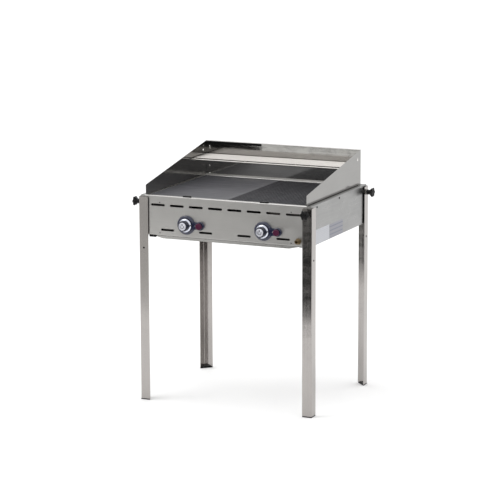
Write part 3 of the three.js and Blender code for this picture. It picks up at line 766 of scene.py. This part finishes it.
# two blank foil labels low on the right side panel
for name, finish, ys, zs in (("silver", silver_label, (-248, -105), (676.5, 733)),
                             ("blue_grey", blue_label, (-103, 35), (676, 732))):
    sheet = block((PANEL_X + 0.02, PANEL_X + 0.17), ys, zs)
    piece(f"foil_label_{name}", sheet, finish, "root", "stainless", bevel=0.05, bevel_steps=1)

# ---------------------------------------------------------------- legs, feet and clamps


STAR = [(9.0, 0, 2.2), (10.8, 0, 2.6), (10.4, 0, 8), (9.4, 0, 11.5), (9.3, 0.1, 13), (10.2, 0.5, 15.5),
        (12.4, 1.1, 18.5), (15.0, 1.8, 21.5), (17.1, 2.2, 24.3), (17.7, 2.3, 26.6), (17.5, 2.25, 28.4),
        (16.7, 2.1, 29.5), (15.4, 1.8, 29.95), (13.6, 1.3, 29.3), (11.4, 0.7, 28.0), (9.2, 0.2, 27.0),
        (7.2, 0, 26.8), (6.6, 0, 27.6), (5.6, 0, 28.1), (0, 0, 28.3)]

SHADE_PLUG = [(2.7, -1.6), (2.7, 0), (3.8, 0.02), (3.8, 0.5), (3.1, 0.95), (1.6, 1.15), (0, 1.2)]
WASHER = [(3.5, 1.9), (8.6, 1.9), (9, 1.5), (9, 0.7), (8.6, 0.3), (3.5, 0.3)]


def corner_plate(x, y, inset, size, bottom, top):
    """A triangle in the corner of a leg."""
    a, b = LEG_X - inset, LEG_Y - inset
    return prism("z", [(x * a, y * b), (x * (a - size), y * b), (x * a, y * (b - size))], bottom, top)


def leg(name, x, y):
    wide, deep = x * LEG_X, y * LEG_Y
    free_x, free_y = x * (LEG_X - LEG_FLANGE), y * (LEG_Y - LEG_FLANGE)
    hole_x, hole_y = x * (LEG_X - LEG_FLANGE / 2), y * (LEG_Y - LEG_FLANGE / 2)
    path = [(wide, free_y), (wide, deep), (free_x, deep)]
    base = folded("z", path, x * y * LEG_SHEET, LEG_BOTTOM, LEG_TOP, 1.6, 8)
    tools = [
        rod((hole_x, deep - 5, SHELF_HOLE_Z), (hole_x, deep + 5, SHELF_HOLE_Z), 3, 32),
        rod((wide - 5, hole_y, SHELF_HOLE_Z), (wide + 5, hole_y, SHELF_HOLE_Z), 3, 32),
        prism("y", corner_tool((free_x, LEG_TOP), (x, -1), 6), deep - 5, deep + 5),
        prism("x", corner_tool((free_y, LEG_TOP), (y, -1), 6), wide - 5, wide + 5),
        clamp_holes(3.5, 4),
    ]
    piece(f"leg_angle_{name}", base, leg_steel, "root", "stainless", f"leg_{name}", cuts=[joined(tools)],
          bevel=0.3)

    # black plugs in the shelf holes: painted shade, for the dark seen through the holes
    shade_plugs = (turned(SHADE_PLUG, (hole_x, deep, SHELF_HOLE_Z), (0, y, 0), 24)
             + turned(SHADE_PLUG, (wide, hole_y, SHELF_HOLE_Z), (x, 0, 0), 24))
    piece(f"leg_hole_shade_plugs_{name}", shade_plugs, black_plastic, "root", "black_plastic")

    plug = corner_plate(x, y, 2.3, 31, 3, 7)
    piece(f"foot_plate_{name}", corner_plate(x, y, 0, 40, 0, 4), black_plastic, "root", "black_plastic",
          f"foot_{name}", add=[plug], bevel=0.6)


def clamp(name, x, y, out):
    centre = (*clamp_point(x, y, out), CLAMP_Z)
    outward = (*out, 0)
    gap, panel = LEG_SHEET + 0.3, LEG_SHEET + 4
    nut = [(3.4, -gap), (7.6, -gap), (8, -gap - 0.4), (8, 0.7 - panel), (7.6, 0.3 - panel),
           (4.5, 0.3 - panel), (4.5, -panel - 9), (5.3, -panel - 10), (4.5, -panel - 11),
           (4.5, -panel - 13), (3.4, -panel - 13)]
    piece(f"rivet_nut_{name}", ring(nut, centre, outward, 40), zinc, "root", "stainless", f"leg_nut_{name}")
    piece(f"plain_washer_{name}", ring(WASHER, centre, outward, 48), zinc, f"clamp_washer_{name}",
          "stainless", f"clamp_washer_{name}")

    knob = f"star_knob_{name}"
    star = rings([lobed(radius, depth, 6, along, 72) for radius, depth, along in STAR], centre, outward)
    piece(f"star_knob_moulding_{name}", star, black_plastic, knob, "black_plastic", knob, sharp=50)
    thread = []
    for step in range(24):
        along = 2.9 - step
        thread += [(2.55, along), (3.0, along - 0.25), (3.0, along - 0.45), (2.55, along - 0.7)]
    stud = turned([(2.4, 3.0)] + thread + [(2.2, -22.9)], centre, outward, 24)
    piece(f"star_knob_stud_{name}", stud, zinc, knob, "stainless")


for corner, x, y, out in CORNERS:
    leg(corner, x, y)
    clamp(corner, x, y, out)

# ---------------------------------------------------------------- drip tray

half = [(270, TRAY_LOW), (314, 670.8), (327, 670.8)]
path = [(-x, z) for x, z in reversed(half)] + half
pan = folded("y", path, SHEET, -TRAY_Y, TRAY_Y, 2.5, 6)
wall = [(-314, 672), (-270, TRAY_LOW), (270, TRAY_LOW), (314, 672)]
ends = prism("y", wall, -TRAY_Y, -TRAY_Y + SHEET) + prism("y", wall, TRAY_Y - SHEET, TRAY_Y)
piece("drip_tray_pan", pan, tray_steel, "drip_tray", "stainless", "drip_tray", add=[ends], bevel=0.25)
# a black block at the tray's front left corner, in front of the runner's end: painted shade for the dark gap
# at the runner's end
shade_block = block((-329, -299), (-287.5, -286.2), (664.8, 673.4))
shade_lug = block((-311.5, -299), (-286.3, -TRAY_Y - 0.02), (666.5, 671))
piece("drip_tray_shade_block", shade_block, black_plastic, "drip_tray", "black_plastic", add=[shade_lug], bevel=0.4)

# ---------------------------------------------------------------- burners and gas

PIPE_Y = -267
HEAT_PLATE_REACH = 235
BURNER_FRONT = -246
PORTS = range(-120, 201, 40)

for name, y in (("front", -RAIL_Y), ("rear", RAIL_Y)):
    path = [(y - 13, RAIL_TOP - 18), (y - 13, RAIL_TOP), (y + 13, RAIL_TOP), (y + 13, RAIL_TOP - 18)]
    reach = PANEL_X - SHEET - 0.5
    piece(f"burner_rail_channel_{name}", folded("x", path, -SHEET, -reach, reach), shade_dark_pipe_metal, "root",
          "stainless", f"burner_rail_{name}", bevel=0.2)

top = LEDGE_Z - SHEET - 0.3
path = [(-12, top - 14), (-12, top), (12, top), (12, top - 14)]
bar = folded("y", path, -SHEET, FRONT_LIP + 1, REAR_LIP - 1)
piece("centre_bar_channel", bar, shade_toned_side_steel, "root", "stainless", "centre_bar", bevel=0.2)

manifold = rod((-CONTROL_X - 20, PIPE_Y, PIPE_Z), (INLET_X - 11.3, PIPE_Y, PIPE_Z), 8, 40, 1)
piece("gas_manifold_pipe", manifold, shade_dark_pipe_metal, "root", "aluminised_pipe", "gas_manifold")

elbow = block((INLET_X - 11, INLET_X + 11), (PIPE_Y - 11, PIPE_Y + 11), (PIPE_Z - 11, PIPE_Z + 11))
neck = rod((INLET_X, PIPE_Y, PIPE_Z), (INLET_X, FACE - 2, PIPE_Z), 9, 40)
piece("gas_inlet_elbow", elbow, brass, "root", "brass", add=[neck], bevel=1.2)
thread = []
for step in range(9):
    along = 9 + step * 1.5
    thread += [(7.1, along), (8.0, along + 0.4), (8.0, along + 0.75), (7.1, along + 1.15)]
mouth = [(7.1, 22.6), (6.7, 23.7), (5.6, 24), (4.9, 23.3), (4.6, 22), (4.6, 11), (0, 11)]
spigot = turned([(6.5, 7.5)] + thread + mouth, (INLET_X, FACE, PIPE_Z), (0, -1, 0), 40)
corner = 11.2 / math.cos(math.pi / 6)
nut = turned([(corner - 1.4, 0.6), (corner, 1.3), (corner, 7.3), (corner - 1.4, 8)],
             (INLET_X, FACE, PIPE_Z), (0, -1, 0), 6)
piece("gas_inlet_fitting", nut + spigot, brass, "root", "brass", "gas_inlet", sharp=24)

BURNER = [(0, 482), (17.5, 482), (19, 480.5), (19, 90), (17.6, 78), (13.4, 58), (12.5, 50), (12.5, 30),
          (14.5, 14), (18, 0), (16.5, 0), (13, 14), (11, 30), (11, 50), (12, 58), (16.1, 78), (17.5, 90),
          (17.5, 480.5), (0, 480.5)]
GLAZE = [(3.0, 1.2), (3.2, 1.6), (3.2, 12), (2.6, 12.6), (2.6, 13.4), (3.2, 14), (3.2, 39), (2.2, 39.9),
         (0, 40)]
FOOT = RAIL_TOP + 0.3


def burner(name, x):
    ports = joined(block((x - 1.5, x + 1.5), (y, y + 20), (CONTROL_Z + 12, CONTROL_Z + 21)) for y in PORTS)
    pipe = turned(BURNER, (x, BURNER_FRONT, CONTROL_Z), (0, 1, 0), 56)
    piece(f"burner_tube_{name}", pipe, shade_dark_heat_tinted, "root", "heat_steel", f"burner_{name}", cuts=[ports],
          bevel=0.15)

    path = [(x - 55, RIDGE_Z[0]), (x, RIDGE_Z[1]), (x + 55, RIDGE_Z[0])]
    ridge = folded("y", path, -1.5, -HEAT_PLATE_REACH, HEAT_PLATE_REACH, 3, 8)
    legs = joined(block(sorted((x + s * 48, x + s * 51)), (y - 6, y + 6), (FOOT, RIDGE_Z[0] + 2.5))
                  for s in (-1, 1) for y in (-RAIL_Y, RAIL_Y))
    piece(f"heat_plate_ridge_{name}", ridge, shade_dark_heat_tinted, "root", "heat_steel", f"heat_plate_{name}",
          add=[legs], bevel=0.3)

    stem = x + SPARK_X
    base = block((stem - 6, stem + 6), (-RAIL_Y - 6, -RAIL_Y + 6), (FOOT, FOOT + 1.2))
    glaze = turned(GLAZE, (stem, -RAIL_Y, FOOT), (0, 0, 1), 28)
    piece(f"electrode_rod_{name}", base + glaze, glazed, "root", "porcelain", f"electrode_{name}", sharp=40)
    line = [(stem, FOOT + 38), (stem, FOOT + 42), (x + 24, FOOT + 45), (x + 14, 750)]
    wire = tube(curve([(a, -RAIL_Y, z) for a, z in line], 5), 0.9, 12)
    piece(f"electrode_wire_{name}", wire, stem_metal, "root", "stem_steel")


# ---------------------------------------------------------------- controls

OUT = (0, -1, 0)
BEZEL = [(6, 0.3), (37.4, 0.3), (38, 0.9), (38, 3.4), (36.6, 5.2), (33.4, 6.6), (29.5, 7.6), (27.6, 8.0),
         (26.6, 7.7), (25.4, 6.9), (12, 6.6), (6, 6.6)]
LOBE = [(5.5, 0.3), (16.9, 0.3), (17.5, 0.9), (17.5, 5.2), (16.7, 6.8), (15.3, 7.8), (14.2, 8.0),
        (13.8, 7.5), (13.4, 6.4), (5.5, 6.4)]
NECK = [(18, 22), (30, 17), (41, 14.6), (52, 14.2)]
DISH_FLOOR = [(6.5, 6.8), (24.8, 6.8), (24.8, 9), (6.5, 9)]
LOBE_FLOOR = [(5.9, 6.5), (13.3, 6.5), (13.3, 9), (5.9, 9)]
SPARK_MARK = [(1.3, 6.0), (1.3, 6.7), (0.9, 7.0), (0, 7.1)]
# radius, flute depth, distance in front of the panel
GRIP = ((20.2, 0, 12.6), (20.8, 0, 13.2), (20.8, 0, 19.4), (21.4, 0.1, 20.2), (21.5, 0.45, 21.5),
        (20.95, 0.45, 33.6), (20.6, 0.3, 35.4), (19.8, 0.1, 36.6), (18.6, 0, 37), (16.4, 0, 37),
        (16.2, 0, 36.6), (0, 0, 36.6))
FLUTES = 24
SKIRT = [(21.1, 12.8), (26.6, 12.6), (27, 13), (27, 14.6), (26.4, 15.6), (24.6, 17.4), (22.8, 18.8),
         (21.8, 19.3), (21.1, 19.3)]
CAP = [(15.3, 37.3), (15.5, 37.5), (15.5, 38.6), (15.1, 39.3), (14.2, 39.55), (12.9, 39.2),
       (12.3, 39.05), (0, 39.3)]
HOUSING = [(5.4, 0.2), (7.6, 0.2), (7.6, 1.5), (9.6, 1.5), (10, 2), (10, 39.4), (9.4, 40), (5.4, 40)]
BUTTON = [(12.4, 13.5), (13, 14.1), (13, 18.8), (12.5, 20.2), (11.2, 21.3), (9.4, 21.8), (7.5, 21.75),
          (4, 21.3), (0, 21.1)]


def bezel(name, x):
    axis, button = (x, FACE, CONTROL_Z), (x + IGNITER, FACE, CONTROL_Z)
    outline = [(x + a, CONTROL_Z - b) for a, b in NECK] + [(x + a, CONTROL_Z + b) for a, b in reversed(NECK)]
    neck = prism("y", outline, FACE - 6.2, FACE - 0.3)
    hollows = (control_rod(x, -9, 1, 6) + control_rod(x + IGNITER, -9, 1, 5.5)
               + ring(DISH_FLOOR, axis, OUT, 56) + ring(LOBE_FLOOR, button, OUT, 48))
    made = build(f"bezel_dish_{name}", ring(BEZEL, axis, OUT, 72), add=[neck], sharp=24)
    combine(made, ring(LOBE, button, OUT, 56), "UNION")
    combine(made, hollows, "DIFFERENCE")
    shade(made, 32)
    place(made, bezel_plastic, "root", "bezel_plastic", f"bezel_{name}")
    light = turned(SPARK_MARK, (x + 41, FACE, CONTROL_Z), OUT, 20)
    piece(f"bezel_spark_mark_{name}", light, rivet_metal, "root", "bezel_plastic")


def valve(name, x):
    boss = turned([(9, 1.5), (9, 7)], (x, FACE, CONTROL_Z), (0, 1, 0), 40)
    body = block((x - 13, x + 13), (FACE + 6, FACE + 40), (CONTROL_Z - 13, CONTROL_Z + 13))
    inlet = rod((x, PIPE_Y, CONTROL_Z - 12), (x, PIPE_Y, PIPE_Z + 8.3), 7, 32)
    made = build(f"valve_casting_{name}", body, add=[boss], bevel=1.5)
    combine(made, inlet, "UNION")
    combine(made, control_rod(x, 39, 50, 4, 32, 0.8), "UNION")
    combine(made, control_rod(x, 1, 27.5, 6), "DIFFERENCE")
    shade(made, 30)
    place(made, brass, "root", "brass", f"valve_body_{name}")
    keyway = block((x - 7, x + 7), (FACE + 13, FACE + 22.5), (CONTROL_Z - 1.95, CONTROL_Z + 1.95))
    piece(f"valve_cone_{name}", control_rod(x, 14, 27, 5.6, 40), brass, f"valve_plug_{name}", "brass",
          f"valve_plug_{name}", cuts=[keyway], bevel=0.2)


def knob(name, x):
    axis = (x, FACE, CONTROL_Z)
    body = f"control_knob_{name}"
    tongue = block((x - 3.2, x + 3.2), (FACE + 9, FACE + 17), (CONTROL_Z - 1.6, CONTROL_Z + 1.6))
    piece(f"valve_shaft_{name}", control_rod(x, -27.7, 9.5, 4, 32, 0.4), stem_metal, body, "stem_steel",
          f"valve_stem_{name}", add=[tongue], bevel=0.2)

    loops = [lobed(radius - flute / 2, -flute / 2, FLUTES, along, 4 * FLUTES)
             for radius, flute, along in GRIP]
    piece(f"knob_grip_{name}", rings(loops, axis, OUT), knob_plastic, body, "bezel_plastic", body,
          cuts=[control_rod(x, -28, 0, 4.3)], sharp=34)
    piece(f"knob_ring_{name}", ring(SKIRT, axis, OUT, 72), chrome, body, "chrome_trim", sharp=40)
    piece(f"knob_cap_disc_{name}", turned(CAP, axis, OUT, 72), cap_metal, body, "chrome_trim",
          f"knob_cap_{name}", sharp=30)

    # an arc that widens round the cap, and the pointer: how far the flame is turned up
    edges = []
    for turn_in in (-1, 1):
        edge = []
        for step in range(25):
            t = math.radians(150 + 230 * step / 24)
            r = 7.2 + turn_in * (0.5 + 1.7 * step / 24) / 2
            edge.append((x + r * math.cos(t), CONTROL_Z + r * math.sin(t)))
        edges.append(edge)
    arc = prism("y", edges[0] + edges[1][::-1], FACE - 39.65, FACE - 39.1)
    needle = [(-1.3, 3.2), (1.3, 3.2), (0.9, 11.4), (-0.9, 11.4)]
    pointer = prism("y", [(x + a, CONTROL_Z + b) for a, b in needle], FACE - 39.85, FACE - 39.0)
    piece(f"knob_pointer_{name}", arc + pointer, knob_plastic, body, "bezel_plastic", sharp=30)


def igniter(name, x):
    centre = (x + IGNITER, FACE, CONTROL_Z)
    end = control_rod(x + IGNITER, 28, 40, 5.6)
    piece(f"igniter_housing_{name}", ring(HOUSING, centre, (0, 1, 0), 48) + end, black_plastic, "root",
          "black_plastic", f"igniter_body_{name}", sharp=34)
    plunger = control_rod(x + IGNITER, -14, 22, 5)
    piece(f"igniter_cap_{name}", turned(BUTTON, centre, OUT, 64), button_plastic, f"igniter_button_{name}",
          "button_plastic", f"igniter_button_{name}", add=[plunger], sharp=34)

    stem = x + SPARK_X
    line = [(x + IGNITER, FACE + 40, CONTROL_Z), (x + IGNITER, FACE + 52, CONTROL_Z - 2),
            (x + 52, FACE + 66, CONTROL_Z - 16), (stem + 4, FACE + 76, FOOT - 8),
            (stem + 3, -RAIL_Y - 4, FOOT - 10), (stem, -RAIL_Y, FOOT - 2), (stem, -RAIL_Y, FOOT + 0.4)]
    piece(f"ignition_lead_{name}", tube(curve(line, 7), 1.5, 14), lead_rubber, "root", "black_plastic")


for end, side in SIDES:
    for make in (burner, bezel, valve, knob, igniter):
        make(end, side * CONTROL_X)

# ---------------------------------------------------------------- guard

GUARD_SHEET = 1
GUARD_BACK = 276.3
above = BODY_TOP + 0.3
RIVETS = (837, 868, 949)
EYELET = [(4.2, 0.1), (4.2, -1.1), (6.2, -1.1), (6.2, -1.25), (3.9, -1.45), (3.9, 0.6), (4.6, 0.85),
          (5.6, 0.75), (6.2, 0.35), (6.2, 0.03)]
EYELET_Y, EYELET_Z = 242, 938
PIN = [(3, 0.2), (3, 13.8), (2.6, 14.6), (1.4, 15), (0, 15)]
PIN_Z = RACK_Z - 2.5 - 0.3 - 3
RIVET = [(3.5, -0.3), (3.5, 0.5), (2.9, 1.3), (1.6, 1.9), (0, 2)]

for name, side in SIDES:
    outer = side * GUARD_X
    front, rear = FRONT_LIP + 0.5, REAR_LIP - 0.5
    back = GUARD_BACK + GUARD_SHEET
    outline = [(GUARD_FRONT, above), (front, above), (front, PLATE_Z), (rear, PLATE_Z), (rear, above),
               (back, above), (back, GUARD_TOP), (GUARD_BACK, GUARD_TOP), (GUARD_FRONT, BODY_TOP + 39.5)]
    base = prism("x", outline, outer - side * GUARD_SHEET, outer)
    flange = block(span(side, GUARD_X, GUARD_X - 7), (front, rear), (PLATE_Z, PLATE_Z + GUARD_SHEET))
    tab = block(span(side, GUARD_X, GUARD_X - 24), (GUARD_BACK, back), (BODY_TOP + 2, GUARD_TOP - 8))
    hole = rod((outer - 4, EYELET_Y, EYELET_Z), (outer + 4, EYELET_Y, EYELET_Z), 4.5, 40)
    piece(f"guard_wall_{name}", base, shade_toned_guard_steel, "guard", "stainless", f"guard_{name}", cuts=[hole],
          add=[flange + tab], bevel=0.2)
    hem = block(span(side, GUARD_X - 1.1, GUARD_X - 6.4), (FRONT_LIP + 3, REAR_LIP - 3),
                (PLATE_Z + 0.9, PLATE_TOP + 1))
    piece(f"guard_foot_hem_{name}", hem, shade_toned_guard_steel, "guard", "stainless", bevel=0.8, bevel_steps=3)
    eyelet = ring(EYELET, (outer, EYELET_Y, EYELET_Z), (side, 0, 0), 40)
    piece(f"guard_eyelet_{name}", eyelet, rivet_metal, "guard", "stainless", sharp=50)
    pins = joined(turned(PIN, (outer, y, PIN_Z), (-side, 0, 0), 32)
                  for y in (RACK_FRONT + 15, RACK_REAR - 15))
    piece(f"guard_rack_pins_{name}", pins, rivet_metal, "guard", "stainless")

path = [(275, above), (275, GUARD_TOP), (284, GUARD_TOP)]
reach = GUARD_X - GUARD_SHEET - 0.3
base = folded("x", path, -GUARD_SHEET, -reach, reach, 1.2, 6)
piece("guard_wall_rear", base, rear_guard_steel, "guard", "stainless", "guard_rear", bevel=0.2)
strip = block((-reach + 1.5, -93), (274.35, 275.02), (GUARD_TOP - 11.5, GUARD_TOP - 1.8))
piece("guard_edge_strip", strip, black_plastic, "guard", "dark_bracket", bevel=0.3)
heads = joined(turned(RIVET, (x, 275, z), OUT, 28) for x in (-329, 329) for z in RIVETS)
piece("guard_rivets", heads, rivet_metal, "guard", "stainless")

# ---------------------------------------------------------------- warming rack

RACK_END = high("warming_rack").x - 2
wires = [tube([(-RACK_END - 2, RACK_FRONT, RACK_Z), (RACK_END + 2, RACK_FRONT, RACK_Z)], 3.1, 20),
         tube([(-RACK_END - 2, RACK_REAR, RACK_Z), (RACK_END + 2, RACK_REAR, RACK_Z)], 2.5, 20)]
for x in (-RACK_END, -RACK_END / 3, RACK_END / 3, RACK_END):
    radius = 2.1 if abs(x) == RACK_END else 1.7
    wires.append(tube([(x, RACK_FRONT, RACK_Z - 0.9), (x, RACK_REAR, RACK_Z - 0.9)], radius, 16))
FIRST_WIRE = 23
WIRES = 11
for i in range(WIRES):
    y = RACK_FRONT + FIRST_WIRE + i * (RACK_REAR - 8 - RACK_FRONT - FIRST_WIRE) / (WIRES - 1)
    wires.append(tube([(-RACK_END - 1, y, RACK_Z + 3.4), (RACK_END + 1, y, RACK_Z + 3.4)], 1.7, 14))
piece("warming_rack_wires", joined(wires), wire_metal, "warming_rack", "bright_wire", "warming_rack",
      sharp=50)

# ---------------------------------------------------------------- griddle and grate

JOINT = 0.75
BORDER = 5
plate = block((-PLATE_X, -JOINT), (PLATE_FRONT, PLATE_BACK), (PLATE_Z, PLATE_TOP))
dish = block((-PLATE_X + BORDER, -JOINT - BORDER), (PLATE_FRONT + BORDER, PLATE_BACK - BORDER),
             (PLATE_TOP - 1.5, PLATE_TOP + 1))
piece("griddle_plate", plate, griddle_iron, "griddle", "plate_iron", "griddle", cuts=[dish], bevel=1.0,
      bevel_steps=3)

GRATE_BARS = 27
BAR = 5
EDGE_BAR = 6
pitch = (PLATE_X - JOINT - 2 * EDGE_BAR + BAR) / GRATE_BARS
middle = (PLATE_FRONT + PLATE_BACK) / 2
gaps = [(JOINT + EDGE_BAR + i * pitch, JOINT + EDGE_BAR + (i + 1) * pitch - BAR) for i in range(GRATE_BARS)]
halves = ((PLATE_FRONT + 12, middle - 6), (middle + 6, PLATE_BACK - 12))
openings = joined(block(gap, row, (PLATE_Z - 1, PLATE_TOP + 1)) for gap in gaps for row in halves)
ribs = joined(block(gap, (middle - 7, middle + 7), (PLATE_TOP - 3, PLATE_TOP + 1)) for gap in gaps)
plate = block((JOINT, PLATE_X), (PLATE_FRONT, PLATE_BACK), (PLATE_Z, PLATE_TOP))
piece("bar_grate", plate, grate_iron, "grate", "plate_iron", "grate", cuts=[openings, ribs], bevel=1.1,
      bevel_steps=3)

# ---------------------------------------------------------------- floor, light and camera


def stage_plane(name, corners, finish):
    data = bpy.data.meshes.new(name)
    data.from_pydata([(x, y, 0) for x, y in corners], [], [tuple(range(len(corners)))])
    data.materials.append(finish)
    added(name, data)


def aimed(made, direction):
    made.rotation_mode = "QUATERNION"
    made.rotation_quaternion = Vector(direction).to_track_quat("-Z", "Y")


FRONT_EDGE = -1.88
white = Finish("studio_white", roughness=0.9)
white.set(base_color=white.mix(white.noise(3.0), (0.955, 0.955, 0.955), (0.97, 0.97, 0.97)))
stage_plane("studio_floor", [(8, FRONT_EDGE), (30, 30), (-30, 30), (-8, FRONT_EDGE)], white.material)
# the floor runs on to the front at the left; its colour is painted darker further out, as painted shade where
# the light falls off, and pale again at its far end
falloff_apron = Finish("studio_apron_painted_falloff", roughness=0.9)
fall = falloff_apron.range(falloff_apron.axis("Y"), -1.6, -6.4, 0.0, 1.0)
falloff_apron.set(base_color=falloff_apron.ramp(fall, (0.0, (0.72, 0.72, 0.71)), (0.55, (0.48, 0.48, 0.47)),
                                (0.8, (0.9, 0.9, 0.88)), (1.0, (0.9, 0.9, 0.88))))
stage_plane("studio_floor_front", [(-0.62, FRONT_EDGE), (-8, FRONT_EDGE), (-8, -6.6), (-1.75, -6.6),
                                   (-1.6, -4.4)], falloff_apron.material)

# a white backdrop, and a soft sky over a dark room for everything that reflects
SKY = ((0.0, 0.04), (0.49, 0.04), (0.5, 0.55), (0.56, 0.9), (0.7, 1.08), (1.0, 1.08))
world = bpy.data.worlds.new("studio")
bpy.context.scene.world = world
world.use_nodes = True
world.node_tree.nodes.clear()
sky = Nodes(world.node_tree, "Generated")
height = sky.range(sky.axis("Z"), -1.0, 1.0, 0.0, 1.0)
colour = sky.ramp(height, *((position, (value,) * 3) for position, value in SKY))
around = sky.node("Background", {"Color": colour}).outputs[0]
backdrop = sky.node("Background", {"Color": (1.0, 1.0, 1.0, 1.0), "Strength": 1.1}).outputs[0]
seen = sky.node("LightPath", {}).outputs["Is Camera Ray"]
choice = sky.node("MixShader", {0: seen, 1: around, 2: backdrop})
sky.node("OutputWorld", {"Surface": choice.outputs[0]})

key = bpy.data.lights.new("key_light", "SUN")
key.energy = 0.55
key.angle = math.radians(34)
aimed(added("key_light", key), (0.62, 0.42, -1.0))

lamp = bpy.data.lights.new("top_softbox", "AREA")
lamp.shape = "RECTANGLE"
lamp.size, lamp.size_y = 2.4, 2.0
lamp.energy = 20
softbox = added("top_softbox", lamp)
softbox.location = (0.0, 0.4, 3.6)
aimed(softbox, (0.0, -0.3, -3.6))

camera = added("camera", bpy.data.cameras.new("camera"))
camera.location = (3.7225, -8.3251, 2.3621)
aimed(camera, (-0.40260, 0.89516, -0.19132))
ROLL = Quaternion((0, 0, 1), -0.0033)
camera.rotation_quaternion = camera.rotation_quaternion @ ROLL
camera.data.lens = 166.7
camera.data.sensor_width = 36
camera.data.clip_start, camera.data.clip_end = 0.1, 100
bpy.context.scene.camera = camera
bpy.context.scene.view_settings.view_transform = "Standard"
